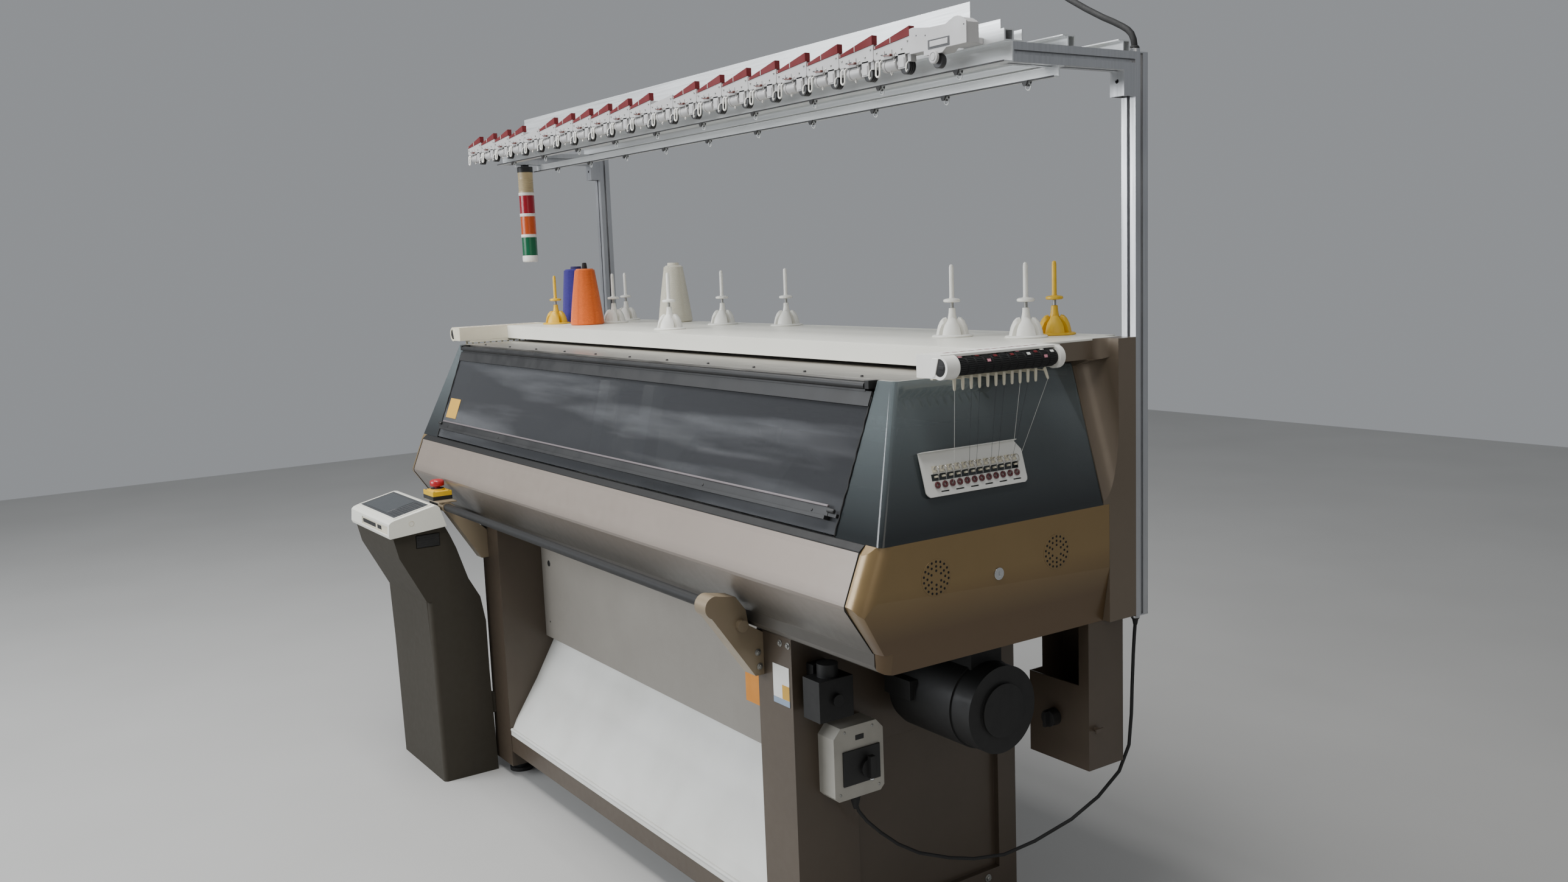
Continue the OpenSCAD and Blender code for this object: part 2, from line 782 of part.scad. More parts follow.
module guide_body() {
    on_side()
        union() {
            difference() {
                translate([guide_w, 0, 0])
                    rotate([90, 0, 90])
                        linear_extrude(sheet_t)
                            difference() {
                                polygon([[194, 84], [200, 80], [462, 80], [468, 84], [470, 90],
                                    [470, 150], [452, 172], [190, 172], [190, 90]]);
                                translate([212, 112])
                                    square([240, 14]);
                                for (i = [0:5])
                                    translate([230 + i * 40, 88])
                                        square([22, 2.5]);
                            }
            }
            translate([guide_w, 190, 170])
                cube([14, 262, 2]);
            for (y = [202, 446])
                for (v = [98, 160])
                    translate([gap, y, v])
                        rotate([0, 90, 0])
                            cylinder(h = guide_w, r = 5);
        }
}

module guide_plates() {
    color([0.92, 0.92, 0.9])
        both()
            guide_body();
}

module eyelet_row() {
    on_side()
        for (i = [0:11]) {
            translate([guide_w + sheet_t + 2.6, 222 + i * 20, 103])
                rotate([0, 90, 0])
                    rotate_extrude($fn = 20)
                        translate([5, 0])
                            circle(r = 2.3, $fn = 14);
            translate([guide_w + sheet_t + gap, 218 + i * 20, 130])
                cube([4, 10, 9]);
            translate([guide_w + sheet_t + 3, 222 + i * 20, 134])
                rotate([0, 90, 0])
                    cylinder(h = 14, r = 1.5, $fn = 16);
            translate([guide_w + sheet_t + 15.5, 222 + i * 20, 124])
                cylinder(h = 11, r = 1.5, $fn = 16);
        }
}

module guide_eyelets() {
    color([0.4, 0.12, 0.12])
        both()
            eyelet_row();
}

module slotted(l) {
    s = post_w / 2;
    linear_extrude(l)
        difference() {
            square([post_w, post_w], center = true);
            for (a = [0, 90, 180, 270])
                rotate(a) {
                    translate([s - 2, -4])
                        square([3, 8]);
                    translate([s - 8, -7])
                        square([6.1, 14]);
                }
            circle(r = 3.5);
        }
}

module gantry_posts() {
    color([0.75, 0.75, 0.76])
        union() {
            both()
                translate([hx - post_w / 2, post_d + post_w / 2 - y_mid, floor_z])
                    slotted(gantry_z - floor_z);
            both()
                block(hx - post_w, hx, post_d, post_d + post_w, floor_z - 3, floor_z);
            both()
                block(hx - post_w, hx, post_d, post_d + post_w, gantry_z - 3, gantry_z);
            post_up(hx - post_w / 2, post_d + post_w / 2, gantry_z, gantry_z + 9, 12);
            difference() {
                post_up(hx - post_w / 2, post_d + post_w / 2, floor_z - 12, floor_z - 3, 10);
                post_up(hx - post_w / 2, post_d + post_w / 2, floor_z - 13, floor_z - 8, 6);
            }
        }
}

module arm_bracket() {
    difference() {
        block(hx - post_w, hx, post_d - 36, post_d, arm_z - 54, arm_z);
        block(hx - post_w + 4, hx - 4, post_d - 32, post_d + 1, arm_z - 55, arm_z - 6);
        pin_back(hx - post_w / 2, post_d - 40, post_d - 30, arm_z - 22, 5);
    }
}

module gantry_arms() {
    color([0.74, 0.74, 0.75])
        both()
            union() {
                translate([hx - post_w / 2, arm_d + 3 - y_mid, arm_z + post_w / 2])
                    rotate([-90, 0, 0])
                        slotted(post_d - arm_d - 3);
                block(hx - post_w, hx, arm_d, arm_d + 3, arm_z, gantry_z);
                arm_bracket();
            }
}

module pigtail(x, d, z) {
    translate([x, d - y_mid, z - 10])
        rotate([90, 0, 0])
            rotate_extrude($fn = 20)
                translate([7, 0])
                    circle(r = 1.5, $fn = 14);
    block(x - 5, x + 5, d - 4, d + 4, z - 5, z + 0.5);
}

module overhead_rails() {
    color([0.86, 0.87, 0.87])
        union() {
            // Tension rail over the arm ends, with the white plate behind it
            difference() {
                block(-hx, hx, 405, 457, gantry_z, gantry_z + 24);
                block(-hx - 1, hx + 1, 409, 428, gantry_z + 3, gantry_z + 21);
                block(-hx - 1, hx + 1, 432, 453, gantry_z + 3, gantry_z + 25);
            }
            block(-hx + 60, hx - 60, 453, 457, gantry_z + 23, gantry_z + 54);
            block(-hx + 150, hx - 150, 453, 457, gantry_z + 53, gantry_z + 104);
            // Folded rail in front of the arm ends
            block(-hx, hx, arm_d - 3, arm_d, arm_z, gantry_z);
            block(-hx, hx, 404, arm_d, arm_z, arm_z + 2.5);
            // Folded rail under the arms
            block(-hx, hx, 557, 560, arm_z - 24, arm_z);
            block(-hx, hx, 557, 574, arm_z - 2.5, arm_z);
            block(-hx, hx, 544, 560, arm_z - 24, arm_z - 21.5);
            for (d = [584, 752]) {
                difference() {
                    block(-hx, hx, d, d + 22, gantry_z, gantry_z + 22);
                    block(-hx - 1, hx + 1, d + 3, d + 19, gantry_z - 1, gantry_z + 19);
                }
                block(-hx, hx, d - 14, d + 1, gantry_z + 19.5, gantry_z + 22);
            }
            for (i = [0:9]) {
                pigtail(-hx + 140 + i * (body_l - 280) / 9, 412, arm_z);
                pigtail(-hx + 200 + i * (body_l - 280) / 9, 550, arm_z - 24);
            }
        }
}

module unit_at(x) {
    u = gantry_z;
    // Cover plate, its top rising to the right
    translate([0, 0, 0])
        translate([x, 330 - y_mid, 0])
            rotate([90, 0, 0])
                linear_extrude(32)
                    polygon([[-flag_pitch + 2, u - 10], [0, u - 10], [0, u + 28],
                        [-flag_pitch + 2, u + 16]]);
    block(x - 46, x - 14, 328, 405 - gap, u + 2, u + 14);
    block(x - 92, x - 60, 300, 326, u - 34, u - 8);
    block(x - 52, x - 34, 304, 322, u - 32, u - 8);
    pin_back(x - 24, 296, 330, u - 22, 5);
    pin_back(x - 24, 300, 306, u - 22, 15);
    pin_back(x - 24, 309, 315, u - 22, 17);
    block(x - 30, x - 18, 300, 330, u - 14, u - 8);
    translate([x - 64, 298 - y_mid, u - 38])
        rotate([90, 0, 0])
            rotate_extrude($fn = 20)
                translate([7, 0])
                    circle(r = 1.4, $fn = 14);
    block(x - 70, x - 58, 296, 300.5, u - 34, u - 30);
}

module tension_units() {
    u = gantry_z;
    color([0.78, 0.78, 0.77])
        union() {
            for (i = [0:19])
                unit_at(flag_x - i * flag_pitch);
            // Cover block at the right end
            translate([hx, 330 - y_mid, 0])
                rotate([90, 0, 0])
                    linear_extrude(34)
                        difference() {
                            polygon([[-162, u - 18], [-62, u - 18], [-62, u - 26], [9, u - 18],
                                [9, u + 30], [-18, u + 41], [-40, u + 41], [-60, u + 32],
                                [-100, u + 34], [-162, u + 41]]);
                            translate([-108, u - 8])
                                square([40, 6]);
                        }
            block(hx - 120, hx - 60, 328, 405 - gap, u + 2, u + 14);
            block(-hx, hx - 150, 345, 352, u - 4, u + 8);
            for (i = [0:19])
                block(flag_x - i * flag_pitch - 36, flag_x - i * flag_pitch - 24, 329, 346,
                    u - 4, u + 6);
        }
}

module red_flags() {
    u = gantry_z;
    color([0.68, 0.08, 0.12])
        for (i = [0:19])
            if (len(search(i, flag_skip)) == 0)
                translate([flag_x - i * flag_pitch, 312 - y_mid, 0])
                    rotate([90, 0, 0])
                        linear_extrude(14)
                            polygon([[-flag_pitch + 4, u + 16.6], [-2, u + 28.1], [-2, u + 48],
                                [-flag_pitch + 4, u + 22]]);
}

module signal_tower() {
    t = gantry_z - post_w;
    color([0.85, 0.78, 0.6])
        union() {
            post_up(tower_x, 500, t - 26, t - 11, tower_d / 2 - 1);
            post_up(tower_x, 500, t - 11, t, 14);
            post_up(tower_x, 500, t - 102, t - 26, tower_d / 2 - 3);
            post_up(tower_x, 500, t - 106, t - 102, tower_d / 2);
            post_up(tower_x, 500, t - 352, t - 331, tower_d / 2);
        }
}

module tower_lenses() {
    t = gantry_z - post_w;
    color([0.8, 0.2, 0.1])
        for (z = [106, 181, 256])
            union() {
                post_up(tower_x, 500, t - z - 71, t - z, tower_d / 2 - 3);
                post_up(tower_x, 500, t - z - 75, t - z - 71, tower_d / 2);
            }
}

module holder_at(p) {
    translate([p[0], p[1] - y_mid, table_z])
        rotate_extrude()
            polygon([[0, 0], [49.5, 0], [49.5, 4], [44, 8], [36, 22], [26, 46], [17, 62], [10, 70],
                [6, 72], [6, 82], [19, 82], [19, 86], [6, 88], [6, 168], [4, 172], [0, 172]]);
}

module cone_holders() {
    color([0.9, 0.9, 0.86]) {
        for (p = holders_w)
            holder_at(p);
        for (p = holders_y)
            holder_at(p);
    }
}

module yarn_cones() {
    color([0.85, 0.4, 0.12])
        for (i = [0:2])
            translate([cones[i][0], cones[i][1] - y_mid, table_z])
                rotate_extrude()
                    polygon([[14, 0], [cone_d / 2 - 4, 0], [cone_d / 2, 5],
                        [cone_d / 2 - [20, 14, 26][i], cone_h - 8],
                        [cone_d / 2 - [24, 18, 30][i], cone_h - 2], [22, cone_h - 2],
                        [21, cone_h + 8], [18, cone_h + 8], [14, cone_h - 20]]);
}

module start_bar() {
    color([0.12, 0.12, 0.12])
        union() {
            difference() {
                bar_along(bar_x0 + 2, bar_x1 - 2, bar_y, bar_z, bar_d / 2);
                block(bar_x0 - 1, bar_x1 + 1, bar_y - 2, bar_y + 2, bar_z + bar_d / 2 - 3,
                    bar_z + bar_d);
            }
            bar_along(bar_x0 - 12, bar_x1 + 12, bar_y, bar_z, 7);
        }
}

module bar_brackets() {
    color([0.62, 0.57, 0.45])
        difference() {
            union() {
                // Right arm with its rounded head
                along_x(bar_x1, bar_x1 + 48)
                    union() {
                        translate([bar_y + 6, bar_z - 6])
                            circle(r = 26);
                        polygon([[bar_y + 6, bar_z + 20], [30, bar_z + 10], [56, bar_z - 25],
                            [62, 868], [leg_d0, 845], [leg_d0, 745], [76, 745],
                            [bar_y - 4, bar_z - 30]]);
                    }
                bar_along(bar_x1 + 48, bar_x1 + 62, 40, bar_z - 58, 14);
                // Left arm, slim, passing behind the console head
                along_x(bar_x0 - 45, bar_x0)
                    union() {
                        translate([bar_y, bar_z])
                            circle(r = 16);
                        polygon([[bar_y, bar_z + 16], [-16, bar_z + 13], [leg_d0, 838],
                            [leg_d0, 745], [76, 745], [bar_y, bar_z - 16]]);
                    }
                // Shelf of the emergency stop
                block(estop_x - 44, bar_x0 - 1, bar_y - 26, bar_y + 34, bar_z + 15, bar_z + 19);
            }
            bar_along(bar_x0 - 20, bar_x0 + 1, bar_y, bar_z, 7 + run);
            bar_along(bar_x1 - 1, bar_x1 + 20, bar_y, bar_z, 7 + run);
        }
}

module estop_box() {
    color([0.9, 0.74, 0.08])
        difference() {
            union() {
                block(estop_x - 46, estop_x + 46, bar_y - 28, bar_y + 36, bar_z + 19, bar_z + 47);
                post_up(estop_x, bar_y + 4, bar_z + 47, bar_z + 52, 24);
            }
            post_up(estop_x, bar_y + 4, bar_z + 30, bar_z + 60, 9 + run);
        }
}

module estop_button() {
    color([0.75, 0.06, 0.05])
        translate([estop_x, bar_y + 4 - y_mid, bar_z])
            rotate_extrude()
                polygon([[0, 36], [9, 36], [9, 60], [20, 60], [21, 64], [19, 70], [12, 74],
                    [0, 75]]);
}

module console_pedestal() {
    color([0.52, 0.46, 0.36])
        difference() {
            union() {
                along_x(ped_x0, ped_x1)
                    polygon(ped_pts);
                // Boss on the front of the left leg
                block(-leg_out + 6, ped_x1 - 5, 80, leg_d0 - gap, 200, 270);
            }
            edge_sliver([ped_x1, -97 - y_mid, 0], unit([0, -402, -6]), [1, 0, 0], 14, 620);
            block(ped_x1 - 4, ped_x1 + 1, -134, -54, 804, 848);
        }
}

module console_head() {
    color([0.84, 0.82, 0.74])
        difference() {
            along_x(head_x1 - head_w, head_x1)
                polygon(head_pts);
            // Recess of the display, tilted with the top
            translate([head_x1 - head_w + 36, -196 - y_mid, 911.4])
                rotate([13, 0, 0])
                    translate([0, 0, -9])
                        cube([head_w - 150, 112, 20]);
            // Disk slot recess in the front
            block(head_x1 - head_w + 117, head_x1 - 15, -240, -218, 864, 890);
            // Key pocket and round mark on the top
            translate([head_x1 - 78, -170 - y_mid, 917.4])
                rotate([13, 0, 0])
                    translate([0, 0, -2])
                        cube([52, 60, 20]);
        }
}

module console_display() {
    color([0.08, 0.09, 0.1])
        union() {
            translate([head_x1 - head_w + 36.3, -195.6 - y_mid, 911.4])
                rotate([13, 0, 0])
                    translate([0, 0, -8.6])
                        cube([head_w - 150.8, 111.2, 6]);
            for (i = [0:4])
                for (j = [0:3])
                    translate([head_x1 - 78, -170 - y_mid, 917.4])
                        rotate([13, 0, 0])
                            translate([2 + i * 10, 2 + j * 14.5, gap - 2])
                                cube([8, 11, 3]);
            block(head_x1 - head_w + 118, head_x1 - 16, -221, -218.3, 872, 882);
            block(ped_x1 - 3.7, ped_x1 + 2, -132, -56, 806, 846);
        }
}

module shield_panel() {
    color([0.62, 0.63, 0.62])
        difference() {
            union() {
                block(-leg_in, leg_in, 250, 250 + sheet_t, 465, floor_z - gap);
                block(-leg_in, leg_in, 250, 262, 465, 465 + sheet_t);
            }
            pin_back(-leg_in + 60, 240, 270, 790, 9);
        }
}

module chute() {
    color([0.88, 0.88, 0.85])
        along_x(-leg_in, leg_in)
            polygon(sheet(chute_pts, -sheet_t));
}

module switch_box() {
    x = leg_out;
    color([0.7, 0.7, 0.68])
        difference() {
            union() {
                along_x(x, x + 60)
                    polygon([[165, 480], [176, 469], [295, 469], [306, 480], [306, 618],
                        [286, 640], [185, 640], [165, 618]]);
                block(x + 60, x + 64, 222, 290, 500, 572);
                post_up(x + 40, 236, 461, 470, 9);
            }
            post_up(x + 40, 236, 455, 464, 6);
            bar_along(x + 50, x + 70, 256, 536, 7 + run);
        }
}

module switch_lever() {
    x = leg_out + 64;
    color([0.06, 0.06, 0.06])
        union() {
            bar_along(x - 12, x + gap + 2, 256, 536, 7);
            bar_along(x + gap, x + 10, 256, 536, 22);
            block(x + 9, x + 22, 249, 263, 514, 566);
        }
}

module rear_box() {
    x0 = hx - 207;
    x1 = hx - 22;
    color([0.55, 0.47, 0.32])
        union() {
            difference() {
                block(x0, x1, 658, 771, 512, floor_z);
                block(x0 + 3, x1 - 3, 661, 768, 515, floor_z - 3);
                block(x0 - 1, x1 - 30, 640, 700, 707, floor_z + 1);
                pin_back(hx - 127, 650, 670, 615, 6 + run);
            }
            bar_along(x1, x1 + 10, 680, 607, 6);
            block(x1 + 9, x1 + 13, 668, 692, 602, 612);
        }
}

module rear_knob() {
    color([0.06, 0.06, 0.06])
        union() {
            pin_back(hx - 127, 640, 672, 615, 6);
            pin_back(hx - 127, 634, 658 - gap, 615, 20);
            block(hx - 131, hx - 123, 622, 636, 597, 633);
        }
}

module supply_cable() {
    p = [for (q = supply_path) q - [0, y_mid, 0]];
    e = p[len(p) - 1];
    u = unit(e - p[len(p) - 2]);
    color([0.04, 0.04, 0.04])
        union() {
            polyhedron(tube_v(p, 7, 12, [0, 1, 0]), tube_f(len(p), 12));
            // Collar and rose of the ceiling fitting
            translate(e + gap * u)
                rotate([0, -acos(u[2]), 0])
                    cylinder(h = 30, r = 10);
            translate([e[0] + 28 * u[0], e[1], e[2] + 28 * u[2] - 4])
                cylinder(h = 7, r = 19);
        }
}

module switch_lead() {
    p = [for (q = lead_path) q - [0, y_mid, 0]];
    color([0.05, 0.05, 0.05])
        polyhedron(tube_v(p, 4, 10, [0.871, -0.492, 0]), tube_f(len(p), 10));
}

leg_left();
leg_right();
levelling_feet();
base_beams();
bed_beam();
front_needle_bed();
rear_needle_bed();
carriage();
bed_rails();
drive_belt();
drive_pulley();
idler_pulley();
motor_and_valve();
yarn_carrier_left();
yarn_carrier_right();
takedown_roller();
fascia();
end_cap_left();
end_cap_right();
front_cover();
cover_handle();
cover_hinge();
side_cover_left();
side_cover_right();
top_strip();
table();
end_frame_left();
end_frame_right();
rear_panel();
side_tension_left();
side_tension_right();
feed_roller_right();
tension_fingers();
guide_plates();
guide_eyelets();
gantry_posts();
gantry_arms();
overhead_rails();
tension_units();
red_flags();
signal_tower();
tower_lenses();
cone_holders();
yarn_cones();
start_bar();
bar_brackets();
estop_box();
estop_button();
console_pedestal();
console_head();
console_display();
shield_panel();
chute();
switch_box();
switch_lever();
rear_box();
rear_knob();
key_lock();
supply_cable();
switch_lead();
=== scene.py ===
# %% [markdown]
# # A flat knitting machine, dressed around its solid model
#
# This lesson dresses a computer controlled flat knitting machine. The solids come from the packed
# CAD model and give every main shape. Blender adds what solids lack: paint, plastic and metal with
# wear, wound yarn, ribbed wheels, springs, screws, needles and threads.

import math

import bmesh
import bpy
from mathutils import Matrix, Vector


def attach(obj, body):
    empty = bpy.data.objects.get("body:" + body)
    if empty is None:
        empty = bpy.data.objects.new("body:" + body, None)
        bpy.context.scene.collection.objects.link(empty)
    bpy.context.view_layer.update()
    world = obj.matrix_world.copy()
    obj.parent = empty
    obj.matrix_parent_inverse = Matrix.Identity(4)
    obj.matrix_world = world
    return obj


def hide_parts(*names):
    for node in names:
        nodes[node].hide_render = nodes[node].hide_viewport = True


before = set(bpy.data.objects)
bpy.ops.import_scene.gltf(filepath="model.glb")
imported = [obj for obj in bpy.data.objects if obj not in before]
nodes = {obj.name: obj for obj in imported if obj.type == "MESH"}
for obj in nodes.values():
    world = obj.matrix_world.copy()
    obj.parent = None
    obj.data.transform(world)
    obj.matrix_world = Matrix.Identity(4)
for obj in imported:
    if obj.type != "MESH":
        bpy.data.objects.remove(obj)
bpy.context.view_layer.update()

# %% [markdown]
# ## One way to say where things are
#
# The drawing gives places in millimetres: x along the machine, d as the depth behind the foot of
# the front, z up from the floor. Blender works in metres, so one small function turns one into
# the other, and every number below can be checked against the drawing.

# %% From millimetres on the drawing to metres in Blender
MM = 0.001
MIDDLE_D = 302.5        # depth of the machine's middle behind the foot of its front
HALF = 1297.5           # half the length of the machine
TABLE_TOP = 1491.0
RAIL_TOP = 2104.0       # top of the overhead arms
SILL = 1127.0           # foot of the smoked covers
POST_X, POST_D = 1277.5, 811.0  # middle of the right gantry post


def at(x, d, z):
    return Vector((x * MM, (d - MIDDLE_D) * MM, z * MM))


print("right gantry post stands at", tuple(round(v, 3) for v in at(POST_X, POST_D, 0)))

# %% [markdown]
# ## The camera
#
# The long, deep and upright edges of the machine in the photograph meet in three vanishing points.
# They give the lens and the tilt, and the 40 mm square gantry post gives the distance. The camera
# is built from its three axes, so no look-at target is needed.

# %% The camera at the photograph's angle
YAW, PITCH, ROLL = (math.radians(a) for a in (55.750, 7.842, -2.191))
LENS_MM, SENSOR_MM = 30.263, 36
CAMERA_AT = (3.265, -1.8025, 1.69)
FAR_CLIP = 60
forward = Vector((-math.sin(YAW) * math.cos(PITCH), math.cos(YAW) * math.cos(PITCH), -math.sin(PITCH)))
level = Vector((math.cos(YAW), math.sin(YAW), 0))
lift = level.cross(forward)
right = math.cos(ROLL) * level + math.sin(ROLL) * lift
upward = -math.sin(ROLL) * level + math.cos(ROLL) * lift
camera = bpy.data.objects.new("camera", bpy.data.cameras.new("camera"))
bpy.context.scene.collection.objects.link(camera)
camera.data.sensor_width = SENSOR_MM
camera.data.lens = LENS_MM
camera.data.clip_end = FAR_CLIP
turn = Matrix((right, upward, -forward)).transposed()
camera.matrix_world = Matrix.Translation(CAMERA_AT) @ turn.to_4x4()
bpy.context.scene.camera = camera
print("lens", camera.data.lens, "mm")

# %% [markdown]
# ## A builder for hand-made shapes
#
# Most added pieces are a few blocks, turned parts, bent wires and cut plates in one mesh. The
# builder collects their corners in millimetres. Doubles are merged and the normals are
# recalculated once, at the end, so every shell is closed and points outwards.

# %% Forms: blocks, turned parts, wires and plates
# The six faces of a block, by the numbers of its eight corners
BLOCK_FACES = [(0, 1, 3, 2), (4, 6, 7, 5), (0, 4, 5, 1), (2, 3, 7, 6), (0, 2, 6, 4), (1, 5, 7, 3)]


class Form:
    def __init__(self):
        self.points, self.faces = [], []

    def add(self, points, faces):
        first = len(self.points)
        self.points += [Vector(p) for p in points]
        self.faces += [[first + i for i in face] for face in faces]
        return self

    def block(self, x0, x1, d0, d1, z0, z1, turn=None):
        points = [(x, d, z) for x in (x0, x1) for d in (d0, d1) for z in (z0, z1)]
        if turn:
            centre = Vector(((x0 + x1) / 2, (d0 + d1) / 2, (z0 + z1) / 2))
            points = [turn @ (Vector(p) - centre) + centre for p in points]
        return self.add(points, BLOCK_FACES)

    def turned(self, foot, axis, outline, sides, ring=False):
        axis = Vector(axis).normalized()
        side = axis.orthogonal().normalized()
        other = axis.cross(side)
        points = [Vector(foot) + axis * h + r * (math.cos(a) * side + math.sin(a) * other)
                  for r, h in outline for a in (k * math.tau / sides for k in range(sides))]
        rows = len(outline)
        faces = [[i * sides + k, i * sides + (k + 1) % sides,
                  (i + 1) % rows * sides + (k + 1) % sides, (i + 1) % rows * sides + k]
                 for i in range(rows if ring else rows - 1) for k in range(sides)]
        if not ring:
            faces += [list(range(sides))[::-1], [(rows - 1) * sides + k for k in range(sides)]]
        return self.add(points, faces)

    def wire(self, path, radius, sides):
        path = [Vector(p) for p in path]
        steps = [(path[min(i + 1, len(path) - 1)] - path[max(i - 1, 0)]).normalized()
                 for i in range(len(path))]
        side = steps[0].orthogonal().normalized()
        points = []
        for p, step in zip(path, steps):
            side = (side - step * side.dot(step)).normalized()
            other = step.cross(side)
            points += [p + radius * (math.cos(a) * side + math.sin(a) * other)
                       for a in (k * math.tau / sides for k in range(sides))]
        rows = len(path)
        faces = [[i * sides + k, i * sides + (k + 1) % sides, (i + 1) * sides + (k + 1) % sides,
                  (i + 1) * sides + k] for i in range(rows - 1) for k in range(sides)]
        faces += [list(range(sides))[::-1], [(rows - 1) * sides + k for k in range(sides)]]
        return self.add(points, faces)

    def plate(self, outline, along, a, b):
        n = len(outline)
        points = [(w, u, v) if along == "x" else (u, w, v) for w in (a, b) for u, v in outline]
        faces = [list(range(n))[::-1], list(range(n, 2 * n))]
        faces += [[k, (k + 1) % n, n + (k + 1) % n, n + k] for k in range(n)]
        return self.add(points, faces)

    def moved(self, matrix):
        other = Form()
        return other.add([matrix @ p for p in self.points], self.faces)


def arc(centre, radius, start, end, steps):
    """Points on an arc that stands upright along the machine, with its angles in degrees."""
    x, d, z = centre
    angles = [math.radians(start + (end - start) * k / steps) for k in range(steps + 1)]
    return [(x + radius * math.cos(a), d, z + radius * math.sin(a)) for a in angles]


print("forms: block, turned, wire, plate and arc")

# %% [markdown]
# ## From a form to a piece
#
# A form becomes a mesh in metres with one finish. Edges that bend sharply stay crisp and the rest
# is shaded smooth. No moulded or folded edge is quite sharp, so where it shows, a small Bevel
# modifier rounds it. The piece then rides on a body, and its one material slot holds the finish.

# %% Turn a form into a piece that rides on a body
SHARP_CORNER = math.radians(40)


def make(form, name, finish, body="machine", bevel=0.0, smooth=35):
    mesh = bpy.data.meshes.new(name)
    mesh.from_pydata([at(*p) for p in form.points], [], form.faces)
    work = bmesh.new()
    work.from_mesh(mesh)
    bmesh.ops.remove_doubles(work, verts=work.verts, dist=2e-6)
    bmesh.ops.dissolve_degenerate(work, edges=work.edges, dist=1e-6)
    bmesh.ops.recalc_face_normals(work, faces=work.faces)
    work.to_mesh(mesh)
    work.free()
    mesh.materials.append(finish)
    mesh.shade_smooth()
    mesh.set_sharp_from_angle(angle=math.radians(smooth))
    piece = bpy.data.objects.new(name, mesh)
    bpy.context.scene.collection.objects.link(piece)
    if bevel:
        soft = piece.modifiers.new("soft edges", "BEVEL")
        soft.width = bevel * MM
        soft.segments = 2
        soft.limit_method = "ANGLE"
        soft.angle_limit = SHARP_CORNER
    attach(piece, body)
    return piece


print("corners over", round(math.degrees(SHARP_CORNER)), "degrees are bevelled")

# %% [markdown]
# ## Colours and the material helper
#
# Colours are written as sRGB hex values, as a colour picker shows them, and one function turns
# them to the linear values that the shaders need. Another function adds any node with its settings
# and its links, so that a material reads as a short recipe.

# %% Colour and node helpers


def colour(code):
    parts = [int(code[i:i + 2], 16) / 255 for i in (1, 3, 5)]
    return tuple(c / 12.92 if c <= 0.04045 else ((c + 0.055) / 1.055) ** 2.4 for c in parts) + (1,)


def add_node(tree, kind, inputs=None, **settings):
    made = tree.nodes.new(kind)
    for name, value in settings.items():
        setattr(made, name, value)
    for key, value in (inputs or {}).items():
        if isinstance(value, bpy.types.NodeSocket):
            tree.links.new(value, made.inputs[key])
        else:
            made.inputs[key].default_value = value
    return made


def new_material(name, **sockets):
    material = bpy.data.materials.new(name)
    material.use_nodes = True
    tree = material.node_tree
    tree.nodes.clear()
    shader = add_node(tree, "ShaderNodeBsdfPrincipled", sockets)
    add_node(tree, "ShaderNodeOutputMaterial", {"Surface": shader.outputs[0]})
    place = add_node(tree, "ShaderNodeTexCoord").outputs["Object"]
    return material, tree, shader, place


def blend_colour(tree, share, low, high):
    mix = add_node(tree, "ShaderNodeMix", {0: share}, data_type="RGBA")
    for socket, value in ((mix.inputs[6], low), (mix.inputs[7], high)):
        if isinstance(value, bpy.types.NodeSocket):
            tree.links.new(value, socket)
        else:
            socket.default_value = colour(value)
    return mix.outputs[2]


def remap(tree, value, a, b, c, d):
    return add_node(tree, "ShaderNodeMapRange", {0: value, 1: a, 2: b, 3: c, 4: d}).outputs[0]


print("mid grey", [round(c, 3) for c in colour("#808080")])

# %% [markdown]
# ## Clouds and rounded edges
#
# Nearly every finish needs two more things: a cloud pattern of a given size in millimetres, and a
# normal that is rounded over the edges. Where the rounded normal leans away from the true one
# there is an edge, and an edge is where paint wears.

# %% Cloud pattern, rounded normal and the share of edges
FLAT_AND_EDGE = (0.995, 0.90)       # how alike the two normals are on a flat and on an edge


def noise(tree, place, size_mm, detail, stretch=None):
    """Cloud pattern whose lumps are size_mm across; stretch draws it out along an axis."""
    if stretch:
        place = add_node(tree, "ShaderNodeMapping", {"Vector": place, "Scale": stretch}).outputs[0]
    return add_node(tree, "ShaderNodeTexNoise", {"Vector": place, "Scale": 1000 / size_mm,
                                                 "Detail": detail}).outputs["Fac"]


def rounded_normal(tree, radius_mm):
    """A normal that turns over each edge within radius_mm, so that no edge looks like a knife's."""
    return add_node(tree, "ShaderNodeBevel", {"Radius": radius_mm * MM}, samples=4).outputs[0]


def edge_share(tree, rounded):
    """1 on worn edges and 0 on flats: how far a rounded normal leans from the true one."""
    true = add_node(tree, "ShaderNodeNewGeometry").outputs["Normal"]
    dot = add_node(tree, "ShaderNodeVectorMath", {0: rounded, 1: true}, operation="DOT_PRODUCT")
    return remap(tree, dot.outputs["Value"], *FLAT_AND_EDGE, 0, 1)


print("an edge counts in full when the normals lean by",
      round(math.degrees(math.acos(FLAT_AND_EDGE[1]))), "degrees")

# %% [markdown]
# ## The two free cables
#
# A round black cable rises from the gland on the right gantry post and runs up to a ceiling
# fitting, just outside the view. A thin lead hangs from the isolator box in one long bow, passes
# behind the machine and enters the foot of the same post. Both repeat the route of the solids.
# A curve with one open spline is the plain way to make a cable: its bevel gives the thickness.

